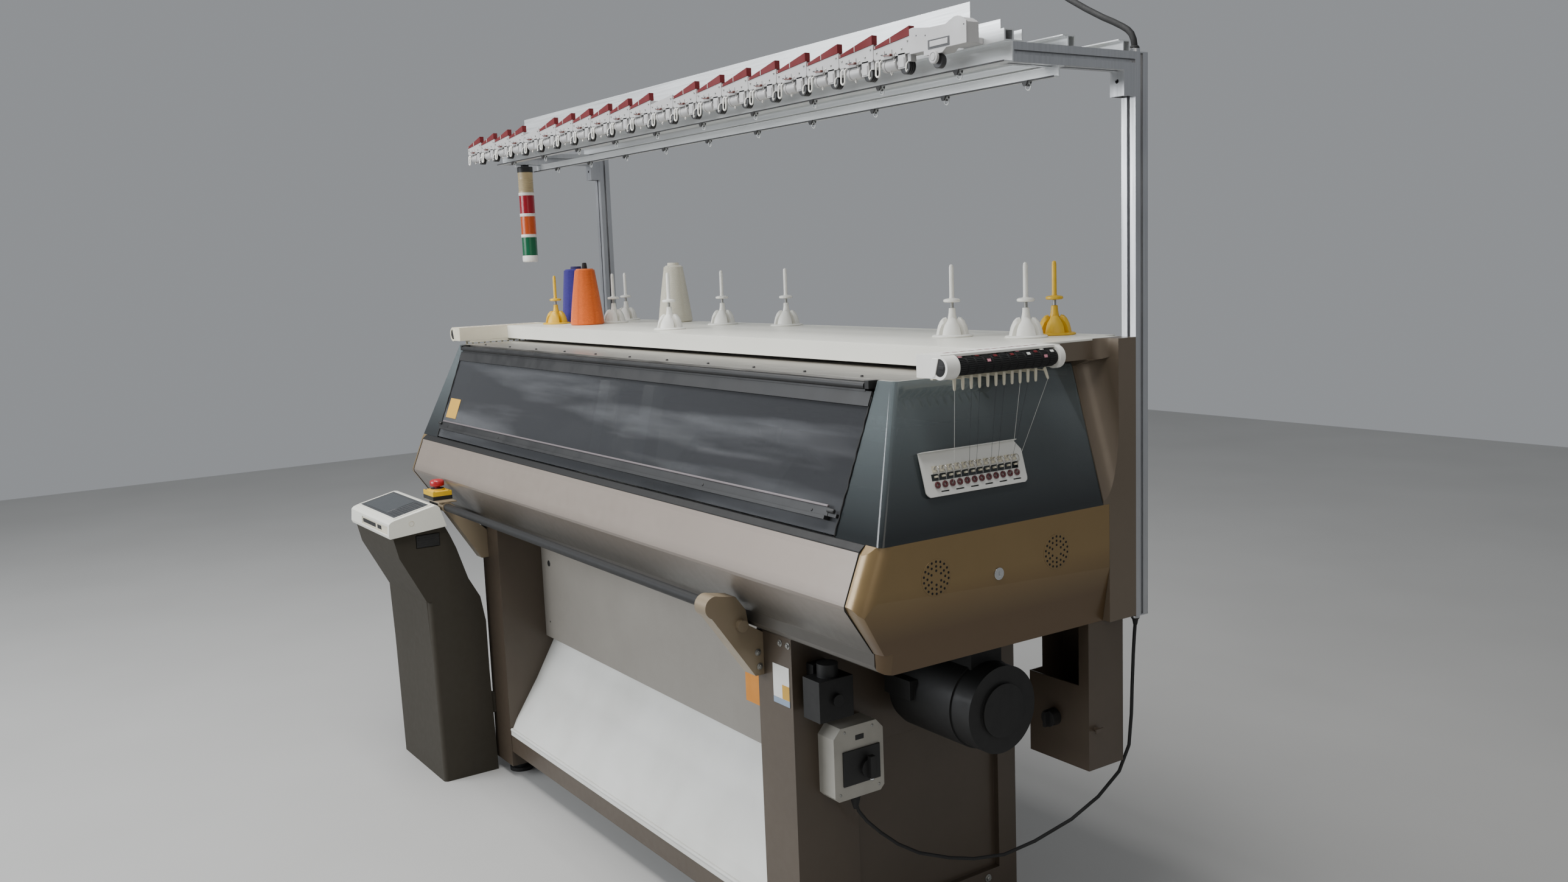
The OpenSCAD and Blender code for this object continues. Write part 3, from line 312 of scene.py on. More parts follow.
# %% Two rubber cables on the routes of the solids
cable_route = [(POST_X - run, POST_D, RAIL_TOP + climb) for run, climb in (
    (0, 9.4), (0, 18), (2, 29), (8, 42), (18, 52), (32, 61), (58, 75), (89, 90), (137, 116),
    (186, 145), (216, 164))]
lead_route = [(951, 236, 463.7), (951, 236, 448), (954, 242, 426), (963, 258, 400),
              (979, 285, 370), (999, 319, 339), (1024, 361, 314), (1060, 422, 297),
              (1090, 471, 291), (1126, 533, 296), (1163, 595, 324), (1208, 670, 372),
              (1240, 726, 423), (1266, 768, 482), (1279, 787, 545), (1282, 792, 620),
              (1282, 795, 690), (1281, 800, 760), (1278.5, 807, 810), (1277.5, 811, 832),
              (1277.5, 811, 848.7)]


def cable(name, route, radius):
    line = bpy.data.curves.new(name, "CURVE")
    line.dimensions = "3D"
    line.bevel_depth = radius * MM
    line.bevel_resolution = 5
    line.use_fill_caps = True
    spline = line.splines.new("POLY")
    spline.points.add(len(route) - 1)
    for point, place in zip(spline.points, route):
        point.co = at(*place).to_4d()
    spline.use_smooth = True
    piece = bpy.data.objects.new(name, line)
    bpy.context.scene.collection.objects.link(piece)
    length = sum((at(*a) - at(*b)).length for a, b in zip(route, route[1:]))
    print(name, "is", round(length, 3), "m long")
    return piece, length


SUPPLY_RADIUS, LEAD_RADIUS = 7.0, 4.0
supply_cable, supply_length = cable("ceiling_cable", cable_route, SUPPLY_RADIUS)
switch_lead, lead_length = cable("isolator_lead", lead_route, LEAD_RADIUS)

# %% [markdown]
# ## Stove enamel
#
# The covers, legs and console are sheet steel and castings with a stoved enamel. It is smooth, a
# little glossy, and close up it has the faint ripple of sprayed paint. Long use wears the paint
# through on sharp edges, dulls it in patches and leaves thin scratches. Below about a metre the
# fascia's lower slope and the end caps turn darker, which is painted shade. The ripple is really
# about 1 mm across, which the picture can't show, so it is drawn 4 mm across.

# %% Stove enamel, with worn edges, dull patches and scratches
PAINTED_SHADE_STARTS_AND_ENDS = (1.035, 0.93)     # metres above the floor


def enamel(name, paint, worn, rough, gloss=0.25, flake=0.0, wear=0.6, grime=0.35, painted_shade=None):
    material, tree, shader, place = new_material(name, **{"Metallic": flake, "IOR": 1.5,
                                                          "Coat Weight": gloss, "Coat Roughness": 0.18})
    patches = noise(tree, place, 260, 4)
    spots = noise(tree, place, 22, 5)
    scratch = noise(tree, place, 3.0, 2, stretch=(0.02, 1, 1))
    rounded = rounded_normal(tree, 1.6)
    edge = edge_share(tree, rounded)
    chipped = add_node(tree, "ShaderNodeMath", {0: edge, 1: remap(tree, spots, 0.35, 0.6, 0, wear)},
                       operation="MULTIPLY").outputs[0]
    dulled = blend_colour(tree, remap(tree, patches, 0.35, 0.75, 0, grime), paint, worn)
    # Painted shade: below about a metre the colour turns towards a darker one
    if painted_shade:
        height = add_node(tree, "ShaderNodeSeparateXYZ", {0: place}).outputs["Z"]
        dulled = blend_colour(tree, remap(tree, height, *PAINTED_SHADE_STARTS_AND_ENDS, 0, 1), dulled, painted_shade)
    specks = remap(tree, scratch, 0.68, 0.8, 0, 0.14)
    base = blend_colour(tree, chipped, blend_colour(tree, specks, dulled, worn), worn)
    tree.links.new(base, shader.inputs["Base Color"])
    tree.links.new(remap(tree, spots, 0.3, 0.7, rough - 0.03, rough + 0.04), shader.inputs["Roughness"])
    bump = add_node(tree, "ShaderNodeBump", {"Strength": 0.10, "Distance": 0.0004,
                                             "Height": noise(tree, place, 4, 2), "Normal": rounded})
    tree.links.new(bump.outputs[0], shader.inputs["Normal"])
    return material


bronze_enamel = enamel("bronze_enamel", "#51463A", "#3C3329", 0.44, flake=0.2)
# The caps are painted darker towards their foot, as painted shade
gold_enamel = enamel("gold_bronze_enamel", "#87704A", "#76623F", 0.34, flake=0.4, wear=0.3, painted_shade="#5F4C34")
# A darker copy of the legs' bronze: painted shade for the pedestal, which stands against the light
shaded_pedestal_enamel = enamel("olive_bronze_enamel", "#332E24", "#2B271E", 0.8, gloss=0.0, grime=0.2)
frame_enamel = enamel("header_bronze_enamel", "#6E6253", "#54493C", 0.42, flake=0.3)
# The fascia's lower slope is painted darker, as painted shade
champagne_enamel = enamel("champagne_enamel", "#8D8278", "#786D63", 0.42, flake=0.2, grime=0.2,
                          painted_shade="#45413B")
cream_enamel = enamel("cream_enamel", "#E9E8DD", "#C9C7B8", 0.45, grime=0.25)
white_enamel = enamel("white_enamel", "#E4E4DF", "#BDBBB2", 0.48, grime=0.5)
grey_enamel = enamel("grey_enamel", "#8E8981", "#76716A", 0.5, grime=0.4)
black_enamel = enamel("black_enamel", "#090909", "#1B1A18", 0.6, gloss=0.05)
tan_enamel = enamel("tan_enamel", "#8F8068", "#6B5D4A", 0.46, flake=0.2)
print("enamels ready")

# %% [markdown]
# ## Moulded plastic
#
# Wheels, holders, housings and the console top are moulded plastic. A mould leaves a fine even
# grain and slightly soft edges, and hands leave patches that shine more. The grain is 0.3 mm on
# the real parts, and is drawn 1.5 mm across so that it shows.

# %% Moulded plastic with grain and handling
HANDLED = 0.3       # greatest share of the aged colour where hands have been


def moulded(name, dye, aged, rough, grain=0.06, gloss=0.0):
    material, tree, shader, place = new_material(name, **{"IOR": 1.53, "Coat Weight": gloss})
    patches = noise(tree, place, 60, 4)
    rounded = rounded_normal(tree, 0.8)
    base = blend_colour(tree, remap(tree, patches, 0.4, 0.75, 0, HANDLED), dye, aged)
    tree.links.new(base, shader.inputs["Base Color"])
    tree.links.new(remap(tree, patches, 0.3, 0.7, rough - 0.08, rough + 0.1), shader.inputs["Roughness"])
    bump = add_node(tree, "ShaderNodeBump", {"Strength": grain, "Distance": 0.0003,
                                             "Height": noise(tree, place, 1.5, 2), "Normal": rounded})
    tree.links.new(bump.outputs[0], shader.inputs["Normal"])
    return material


white_plastic = moulded("white_abs", "#ECEBE4", "#CFCCC0", 0.42)
cream_plastic = moulded("cream_abs", "#DDD6C0", "#BFB69C", 0.46)
light_grey_plastic = moulded("light_grey_abs", "#B5B4B3", "#989694", 0.45)
box_grey_plastic = moulded("grey_abs", "#A8A59C", "#86827A", 0.5)
black_plastic = moulded("black_nylon", "#171717", "#2B2A29", 0.5)
dark_grey_plastic = moulded("dark_grey_nylon", "#3A3A3B", "#2C2C2D", 0.5)
worn_grey_plastic = moulded("worn_grey_abs", "#6E6668", "#57504F", 0.42)
black_rubber = moulded("black_rubber", "#131313", "#262523", 0.72, grain=0.15)
tan_plastic = moulded("tan_polycarbonate", "#B9A67E", "#96845E", 0.4)
maroon_ceramic = moulded("maroon_ceramic", "#5A1A20", "#3C1015", 0.16, gloss=0.5)
flag_red = moulded("signal_red_acrylic", "#62020A", "#4C0208", 0.8)
# Near-black for painted shade in the vent holes and the louvre mouths, and for the dark seams of the caps
shade_and_seam_black = moulded("lint_black_gauze", "#060606", "#0B0B0A", 0.85, grain=0.0)
safety_red = moulded("safety_red_nylon", "#A8121A", "#850E14", 0.35, gloss=0.2)
safety_yellow = moulded("safety_yellow_abs", "#E0B41E", "#B88F18", 0.4)
sticker_orange = moulded("orange_sticker", "#D98A24", "#B96F1C", 0.5)
sticker_yellow = moulded("yellow_sticker", "#CFA13A", "#A98129", 0.5)
sticker_white = moulded("white_sticker", "#E6E6E0", "#C8C8C0", 0.5)
sticker_blue = moulded("blue_grey_sticker", "#8FA0B4", "#75859A", 0.5)
pink_plastic = moulded("pink_abs", "#D98F9C", "#B77482", 0.4)
brown_plastic = moulded("brown_bakelite", "#5A2B22", "#40201A", 0.3)
print("plastics ready")

# %% [markdown]
# ## Bare metal
#
# Metal keeps the default IOR, and its colour is its reflection. The gantry is an extruded,
# anodised aluminium with faint lines along its length. The strip behind the pane is brushed
# along the machine, the needle beds are ground across it, the castings are rough iron.

# %% Metals: drawn, brushed, ground and cast


def metal(name, tone, stain, rough, line_mm, stretch, depth=0.25, dark=0.35, shine=1.0):
    material, tree, shader, place = new_material(name, **{"Metallic": shine})
    lines = noise(tree, place, line_mm, 3, stretch=stretch)
    patches = noise(tree, place, 150, 5)
    rounded = rounded_normal(tree, 0.8)
    tone_mix = blend_colour(tree, remap(tree, patches, 0.4, 0.8, 0, dark), tone, stain)
    fine = blend_colour(tree, remap(tree, lines, 0.3, 0.7, 0, 0.35), tone_mix, stain)
    tree.links.new(fine, shader.inputs["Base Color"])
    tree.links.new(remap(tree, lines, 0.3, 0.7, rough - 0.06, rough + 0.12), shader.inputs["Roughness"])
    bump = add_node(tree, "ShaderNodeBump", {"Strength": depth, "Distance": 0.0002, "Height": lines,
                                             "Normal": rounded})
    tree.links.new(bump.outputs[0], shader.inputs["Normal"])
    return material


anodised = metal("anodised_aluminium", "#C9CACC", "#A5A7AB", 0.36, 5, (1, 1, 0.03))
rail_aluminium = metal("clear_anodised_rail", "#E6E8E8", "#C6C9CA", 0.4, 5, (0.02, 1, 1), shine=0.75)
brushed_steel = metal("brushed_steel_strip", "#AFABA4", "#8B867F", 0.34, 2.5, (0.02, 1, 1))
ground_steel = metal("ground_bed_steel", "#B6B7B8", "#8A8B8D", 0.3, 2.5, (1, 0.05, 0.05))
cast_iron = metal("dark_cast_iron", "#3A3C3E", "#242628", 0.62, 6, (1, 1, 1), depth=0.6, shine=0.4)
spring_steel = metal("nickel_spring_steel", "#C9C6C0", "#8F8C86", 0.22, 3, (1, 1, 1), dark=0.2)
lock_chrome = metal("lock_chrome", "#DADCDD", "#B4B6B8", 0.12, 3, (1, 1, 1), depth=0.05, dark=0.1)
screw_zinc = metal("zinc_screw", "#A9A9A6", "#77776F", 0.35, 2, (1, 1, 1))
print("metals ready")

# %% [markdown]
# ## Smoked acrylic
#
# The covers are 5 mm acrylic, dyed dark. Light passes through the dye twice, so the knitting head
# shows only faintly. Acrylic has an IOR of 1.49. The side covers are coloured darker at the foot
# and paler towards the top. On the front, wiping draws lint out in long streaks. Hands leave
# hazy smears, which show as a rougher gloss and not as colour.

# %% Smoked acrylic and clear lens plastic
DARK_FOOT_TO_PALE_TOP = (1.14, 1.36)    # metres above the floor
ACRYLIC_IOR = 1.49


def clear_dyed(name, dye, rough, smear, through, foot_colour=None, film=None):
    material, tree, shader, place = new_material(name, **{"IOR": ACRYLIC_IOR, "Transmission Weight": through})
    smears = noise(tree, place, 180, 6, stretch=(0.4, 1, 1))
    if foot_colour:
        height = add_node(tree, "ShaderNodeSeparateXYZ", {0: place}).outputs["Z"]
        tree.links.new(blend_colour(tree, remap(tree, height, *DARK_FOOT_TO_PALE_TOP, 0, 1), foot_colour, dye),
                       shader.inputs["Base Color"])
    elif film:
        streaks = noise(tree, place, 90, 4, stretch=(0.1, 1, 1))
        tree.links.new(blend_colour(tree, remap(tree, streaks, 0.47, 0.68, 0, 1), dye, film),
                       shader.inputs["Base Color"])
    else:
        shader.inputs["Base Color"].default_value = colour(dye)
    tree.links.new(remap(tree, smears, 0.45, 0.8, rough, rough + smear), shader.inputs["Roughness"])
    return material


smoked_front = clear_dyed("smoked_acrylic_front", "#66686C", 0.05, 0.12, 0.8, film="#A9ABAF")
smoked_side = clear_dyed("smoked_acrylic_side", "#949FA1", 0.04, 0.03, 0.72, foot_colour="#3C4244")
lens_red = clear_dyed("red_lens", "#B01228", 0.2, 0.1, 0.35)
lens_orange = clear_dyed("orange_lens", "#E0601F", 0.2, 0.1, 0.35)
lens_green = clear_dyed("green_lens", "#0F7048", 0.2, 0.1, 0.35)
display_glass = moulded("display_glass", "#15181B", "#202428", 0.12, grain=0.0, gloss=0.6)
screen_glass = moulded("screen_glass", "#2B3033", "#383D40", 0.2, grain=0.0, gloss=0.6)
print("clear plastics ready")

# %% [markdown]
# ## Paint on the solids
#
# Where the solid already has the right shape it stays, and only its material slots change. Each
# solid takes the finish of the real part.

# %% Finishes for the solids that stay
finishes = {
    bronze_enamel: ["leg_left", "leg_right", "base_beams", "rear_panel", "rear_box"],
    shaded_pedestal_enamel: ["console_pedestal"],
    frame_enamel: ["end_frame_left", "end_frame_right"],
    gold_enamel: ["end_cap_left", "end_cap_right"],
    champagne_enamel: ["fascia"],
    cream_enamel: ["table", "console_head", "carriage"],
    white_enamel: ["chute", "guide_plates"],
    grey_enamel: ["shield_panel"],
    black_enamel: ["motor_and_valve", "start_bar", "cover_hinge"],
    tan_enamel: ["bar_brackets"],
    cast_iron: ["bed_beam"],
    ground_steel: ["front_needle_bed", "rear_needle_bed", "bed_rails"],
    brushed_steel: ["top_strip"],
    anodised: ["gantry_posts", "gantry_arms", "drive_pulley", "idler_pulley"],
    rail_aluminium: ["overhead_rails"],
    black_plastic: ["cover_handle", "switch_lever", "rear_knob"],
    black_rubber: ["levelling_feet", "drive_belt", "takedown_roller", "feed_roller_right",
                   "supply_cable", "switch_lead"],
    white_plastic: ["side_tension_right", "cone_holders"],
    cream_plastic: ["side_tension_left", "tension_fingers", "yarn_carrier_left", "yarn_carrier_right"],
    light_grey_plastic: ["tension_units"],
    box_grey_plastic: ["switch_box"],
    tan_plastic: ["signal_tower"],
    maroon_ceramic: ["guide_eyelets"],
    flag_red: ["red_flags"],
    safety_red: ["estop_button"],
    safety_yellow: ["estop_box"],
    lens_red: ["tower_lenses"],
    display_glass: ["console_display"],
    lock_chrome: ["key_lock"],
    smoked_front: ["front_cover"],
    smoked_side: ["side_cover_left", "side_cover_right"],
    sticker_orange: ["yarn_cones"],
}
for finish, names in finishes.items():
    for name in names:
        solid = nodes[name]
        for part in solid.material_slots:
            part.material = finish
print("left without a finish:", sorted(set(nodes) - {n for names in finishes.values() for n in names}))

# %% [markdown]
# ## The cables join the machine
#
# The two cables ride on the body of the machine and stand for the cables of the solids. The supply
# cable ends in a guessed fitting, just outside the view.

# %% Finish of the cables, the ceiling fitting, and the two cords
for piece in (supply_cable, switch_lead):
    piece.data.materials.append(black_rubber)
    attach(piece, "machine")
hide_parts("supply_cable")
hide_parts("switch_lead")
fitting = Form()
rise = (Vector(cable_route[-1]) - Vector(cable_route[-2])).normalized()
end = Vector(cable_route[-1])
sleeve = [(8.0, 0), (8.6, 1.5), (10, 7), (10, 21), (9.2, 22), (9.2, 24), (10, 25), (10, 29)]
fitting.turned(end + 0.3 * rise, rise, sleeve, 24)
fitting.turned((end.x + 28 * rise.x, end.y, end.z + 28 * rise.z - 4), (0, 0, 1),
               [(15, 0), (18.4, 1.2), (19, 3), (19, 7)], 28)
ceiling_fitting = make(fitting, "ceiling_fitting", black_plastic, smooth=30)
print("cords on the machine: 2")

# %% [markdown]
# ## Floor and light
#
# A plain pale floor and soft studio light: a large panel stands for windows in front on the left,
# one hangs over the machine, and a weak one fills the right end.

# %% Pale floor and soft lights
FLOOR_SIDE, FLOOR_FRONT, FLOOR_BACK = 9, -7, 9      # metres from the machine's middle
WORLD_LIGHT = 0.42
floor_corners = [(-FLOOR_SIDE, FLOOR_FRONT, 0), (FLOOR_SIDE, FLOOR_FRONT, 0), (FLOOR_SIDE, FLOOR_BACK, 0),
                 (-FLOOR_SIDE, FLOOR_BACK, 0)]
floor_mesh = bpy.data.meshes.new("floor")
floor_mesh.from_pydata(floor_corners, [], [(0, 1, 2, 3)])
floor_piece = bpy.data.objects.new("floor", floor_mesh)
bpy.context.scene.collection.objects.link(floor_piece)
floor_paint, tree, shader, place = new_material("pale_floor", **{"Roughness": 0.6})
mottled = blend_colour(tree, noise(tree, place, 900, 3), "#BDBCB9", "#B0AFAC")
tree.links.new(mottled, shader.inputs["Base Color"])
floor_mesh.materials.append(floor_paint)

world = bpy.data.worlds.new("studio")
bpy.context.scene.world = world
world.use_nodes = True
world.node_tree.nodes["Background"].inputs[0].default_value = colour("#D9DDE2")
world.node_tree.nodes["Background"].inputs[1].default_value = WORLD_LIGHT


def soft_light(name, place, target, size, power, tint="#FFFFFF"):
    lamp = bpy.data.lights.new(name, "AREA")
    lamp.shape = "RECTANGLE"
    lamp.size, lamp.size_y = size
    lamp.energy = power
    lamp.color = colour(tint)[:3]
    holder = bpy.data.objects.new(name, lamp)
    bpy.context.scene.collection.objects.link(holder)
    holder.location = place
    aim = Vector(target) - Vector(place)
    holder.rotation_euler = aim.to_track_quat("-Z", "Y").to_euler()


soft_light("front_windows", (-2.4, -5.7, 3.2), (0, 0, 1.2), (4.4, 2.6), 370, "#F6FAFF")
soft_light("ceiling_tubes", (0.0, -1.0, 4.4), (0.0, 0, 1.2), (5.0, 1.4), 210)
soft_light("right_fill", (4.6, -1.2, 2.6), (1.2, 0.2, 1.1), (2.0, 2.0), 14, "#FFF6EA")
print("lights:", len(bpy.data.lights))

# %% [markdown]
# ## Two small node trees for what repeats
#
# The machine repeats one part many times: wheels, fingers, rings, tension units, needles, screws.
# One tree lays copies along a straight row, the other stands a copy on each of some given points.
# Both end with real geometry and one finish, because the export drops instances.

# %% Geometry Nodes: a row of copies, and copies on points


def copies_tree(name, row):
    tree = bpy.data.node_groups.new(name, "GeometryNodeTree")
    wanted = [("Copy", "NodeSocketObject"), ("Finish", "NodeSocketMaterial")]
    wanted += [("Count", "NodeSocketInt"), ("Step", "NodeSocketVector")] if row else []
    tree.interface.new_socket("Geometry", in_out="INPUT", socket_type="NodeSocketGeometry")
    for label, kind in wanted:
        tree.interface.new_socket(label, in_out="INPUT", socket_type=kind)
    tree.interface.new_socket("Geometry", in_out="OUTPUT", socket_type="NodeSocketGeometry")
    given = add_node(tree, "NodeGroupInput").outputs
    spots = given["Geometry"]
    if row:
        spots = add_node(tree, "GeometryNodeMeshLine", {"Count": given["Count"], "Offset": given["Step"]},
                         mode="OFFSET").outputs["Mesh"]
    shape = add_node(tree, "GeometryNodeObjectInfo", {"Object": given["Copy"]}).outputs["Geometry"]
    copies = add_node(tree, "GeometryNodeInstanceOnPoints", {"Points": spots, "Instance": shape})
    solid = add_node(tree, "GeometryNodeRealizeInstances", {"Geometry": copies.outputs["Instances"]})
    painted = add_node(tree, "GeometryNodeSetMaterial", {"Geometry": solid.outputs["Geometry"],
                                                         "Material": given["Finish"]})
    add_node(tree, "NodeGroupOutput", {"Geometry": painted.outputs["Geometry"]})
    return tree


ROW_TREE = copies_tree("row_of_copies", True)
SPOT_TREE = copies_tree("copies_on_points", False)
print("node trees:", ROW_TREE.name, SPOT_TREE.name)

# %% [markdown]
# ## From a tree to a plain mesh
#
# A host object carries the tree just long enough to be evaluated once. What comes out is kept as a
# plain mesh with one finish, and the single copy is removed.

# %% Repeat a form and keep the result as one mesh


def repeat(form, name, finish, step=None, count=None, spots=None, body="machine", smooth=35):
    """One form repeated by step (mm), or stood on each of spots (mm offsets); returns a plain mesh."""
    single = make(form, name + "_one", finish, body, 0, smooth)
    host = bpy.data.objects.new(name, bpy.data.meshes.new(name + "_spots"))
    if spots:
        host.data.from_pydata([Vector(s) * MM for s in spots], [], [])
    bpy.context.scene.collection.objects.link(host)
    modifier = host.modifiers.new("copies", "NODES")
    modifier.node_group = SPOT_TREE if spots else ROW_TREE
    key = {item.name: item.identifier for item in modifier.node_group.interface.items_tree
           if item.in_out == "INPUT"}
    modifier[key["Copy"]] = single
    modifier[key["Finish"]] = finish
    if not spots:
        modifier[key["Count"]] = count
        modifier[key["Step"]] = [c * MM for c in step]
    host.update_tag()
    graph = bpy.context.evaluated_depsgraph_get()
    plain = bpy.data.meshes.new_from_object(host.evaluated_get(graph))
    host.modifiers.clear()
    host.data = plain
    host.name = plain.name = name
    plain.materials.clear()
    plain.materials.append(finish)
    bpy.data.objects.remove(single)
    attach(host, body)
    return host


# %% [markdown]
# ## The side yarn unit: ribbed wheels
#
# At each end of the table a housing, white on the right and cream on the left, holds twelve
# ribbed black wheels on one shaft. They feed the yarn. A wheel is a plate with a toothed outline,
# made once and repeated by the row tree. Small coloured marks sit on the wheels of the right end
# and turn with them.

# %% Ribbed wheels and their coloured marks
SHAFT_X, SHAFT_Z = 1316.0, 1468.0
WHEELS, WHEEL_STEP = 12, 22.5
WHEEL_D = 249       # middle of the first wheel
RIBS = 28
RIB_DEEP = 1.3


def mirrored(form):
    other = Form()
    return other.add([(-p.x, p.y, p.z) for p in form.points], [face[::-1] for face in form.faces])


def wheel_form(radius):
    form = Form()
    low = radius - RIB_DEEP
    outline = []
    for k in range(RIBS):
        for share, r in ((0.0, radius), (0.42, radius), (0.52, low), (0.9, low)):
            a = (k + share) * math.tau / RIBS
            outline.append((SHAFT_X + r * math.cos(a), SHAFT_Z + r * math.sin(a)))
    form.plate(outline, "d", 240.2, 257.8)
    for d0, d1 in ((239, 240.2), (257.8, 259)):
        flange = [(radius - 2.2, 0), (radius - 1.0, (d1 - d0) / 2), (radius - 2.2, d1 - d0)]
        form.turned((SHAFT_X, d0, SHAFT_Z), (0, 1, 0), flange, 28)
    return form


wheels_right = repeat(wheel_form(19.0), "feed_wheels_right", black_rubber,
                      step=(0, WHEEL_STEP, 0), count=WHEELS, body="feed_roller_right", smooth=25)
shaft_outline = [(5.2, 0), (6, 1), (6, 26), (16.6, 26.3), (16.6, 303.6), (6, 304), (6, 315), (5.2, 316)]
shaft = Form().turned((SHAFT_X, 208, SHAFT_Z), (0, 1, 0), shaft_outline, 28)
shaft_right = make(shaft, "feed_shaft_right", black_rubber, "feed_roller_right")
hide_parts("feed_roller_right")
repeat(mirrored(wheel_form(19.5)), "feed_wheels_left", black_rubber,
       step=(0, WHEEL_STEP, 0), count=WHEELS, smooth=25)
# Each mark is a wheel's number and the angle at which the mark sits on it
marks = {flag_red: [(2, 118), (4, 100), (5, 150), (6, 96), (9, 100)],
         pink_plastic: [(0, 120), (3, 70), (7, 130), (10, 60)],
         sticker_white: [(8, 88), (10, 120), (11, 92)]}
for finish, spots in marks.items():
    form = Form()
    for number, angle in spots:
        a = math.radians(angle - 45)
        radial = Vector((math.cos(a), 0, math.sin(a)))
        along = Vector((-math.sin(a), 0, math.cos(a)))
        middle = Vector((SHAFT_X, WHEEL_D + number * WHEEL_STEP, SHAFT_Z)) + radial * 19.2
        corners = [middle + radial * r + along * t + Vector((0, y, 0))
                   for r in (-0.9, 0.25) for t in (-3.0, 3.0) for y in (-4.5, 4.5)]
        form.add(corners, BLOCK_FACES)
    make(form, "wheel_marks_" + finish.name, finish,
         "feed_roller_right")
print("wheels:", len(wheels_right.data.polygons), "faces on the right")

# %% [markdown]
# ## Spring fingers and the ends of the housing
#
# A cream spring finger under each wheel keeps its yarn tight. The rearmost one on the right has
# swung out, as one does when its yarn runs free. Each finger hangs from a thin arm that reaches
# out from a bar. The housing carries a row of twelve red dashes on its top, a slanted cheek and a
# black plug at the shaft's end.

# %% Spring fingers, their bar, and the red dashes on the housing
FINGER_X, FINGER_D = 1305.0, 247
FINGER_ROOT, FINGER_TIP = 1447, 1419        # a finger turns at its root
DASH_STEP = 22


def finger(d, lean=0.0):
    outline = [(-3.6, FINGER_ROOT), (3.6, FINGER_ROOT), (3.4, 1434), (2.6, FINGER_TIP + 3),
               (1.3, FINGER_TIP), (-1.3, FINGER_TIP), (-2.6, FINGER_TIP + 3), (-3.4, 1434)]
    turn = Matrix.Rotation(math.radians(lean), 2)
    outline = [turn @ Vector((u, v - FINGER_ROOT)) for u, v in outline]
    return [(d + p[0], FINGER_ROOT + p[1]) for p in outline]


fingers = Form().plate(finger(FINGER_D), "x", FINGER_X, FINGER_X + 2.6)
fingers.block(FINGER_X - 52, FINGER_X + 1, 244.5, 249.5, 1440.2, 1442.6)
repeat(fingers, "spring_fingers_right", cream_plastic,
       step=(0, WHEEL_STEP, 0), count=WHEELS - 1)
repeat(mirrored(fingers), "spring_fingers_left", cream_plastic,
       step=(0, WHEEL_STEP, 0), count=WHEELS)
last = Form().plate(finger(496, 24), "x", FINGER_X + 1, FINGER_X + 3.6)
last.block(FINGER_X - 52, FINGER_X + 2, 492, 497, 1440.2, 1442.6)
for side in (1, -1):
    last.block(*sorted((side * 1247.3, side * 1255)), 236, 510, 1438, 1445.7)
finger_bars = make(last, "finger_bars", cream_plastic, bevel=0.4)
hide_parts("tension_fingers")
dash = Form().block(1277.2, 1284.8, 242.2, 257.8, 1492.05, 1493.25)
repeat(dash, "red_dashes_right", flag_red, step=(0, DASH_STEP, 0), count=WHEELS)
repeat(mirrored(dash), "red_dashes_left", flag_red, step=(0, DASH_STEP, 0), count=WHEELS)
plug_outline = [(15.5, 0), (17.6, 1.2), (17.8, 4), (17.8, 5.2)]
plug = Form().turned((SHAFT_X, 200.6, SHAFT_Z), (0, 1, 0), plug_outline, 32)
plug.block(SHAFT_X - 2, SHAFT_X + 14, 199.6, 201.4, SHAFT_Z - 3, SHAFT_Z + 3)
cheek = [(-21, -19), (-13, -19), (-2, 18.6), (-21, 18.6)]
wedge = Form().plate([(SHAFT_X + x, SHAFT_Z + z) for x, z in cheek], "d", 199, 206)
make(wedge, "housing_slant_right", white_plastic, bevel=1.0)
make(mirrored(wedge), "housing_slant_left", cream_plastic, bevel=1.0)
make(plug, "shaft_end_plug_right", black_rubber, bevel=0.5)
make(mirrored(plug), "shaft_end_plug_left", black_rubber, bevel=0.5)
print("spring fingers:", 2 * WHEELS)

# %% [markdown]
# ## The yarn guide plate on each side window
#
# Under the fingers a white plate stands off the smoked side window. Along it sit twelve bent wire
# hooks and twelve dark red ceramic rings, which the yarns pass before they enter the machine.
# They are drawn in the leaning plane of the window: w outwards, v up the slope.

# %% Rings, hooks and threads in the plane of the side window
SIDE_TILT = math.atan(0.30)
WINDOW = Matrix.Translation((HALF, 0, SILL)) @ Matrix.Rotation(-SIDE_TILT, 4, "Y")
HOOK_D, HOOK_STEP = 222, 20
RING_V = 103            # height of the rings up the slope


def on_window(form, side):
    """A form drawn in the plane of the window, on the right (1) or the left (-1) side."""
    placed = form.moved(WINDOW)
    return placed if side == 1 else mirrored(placed)


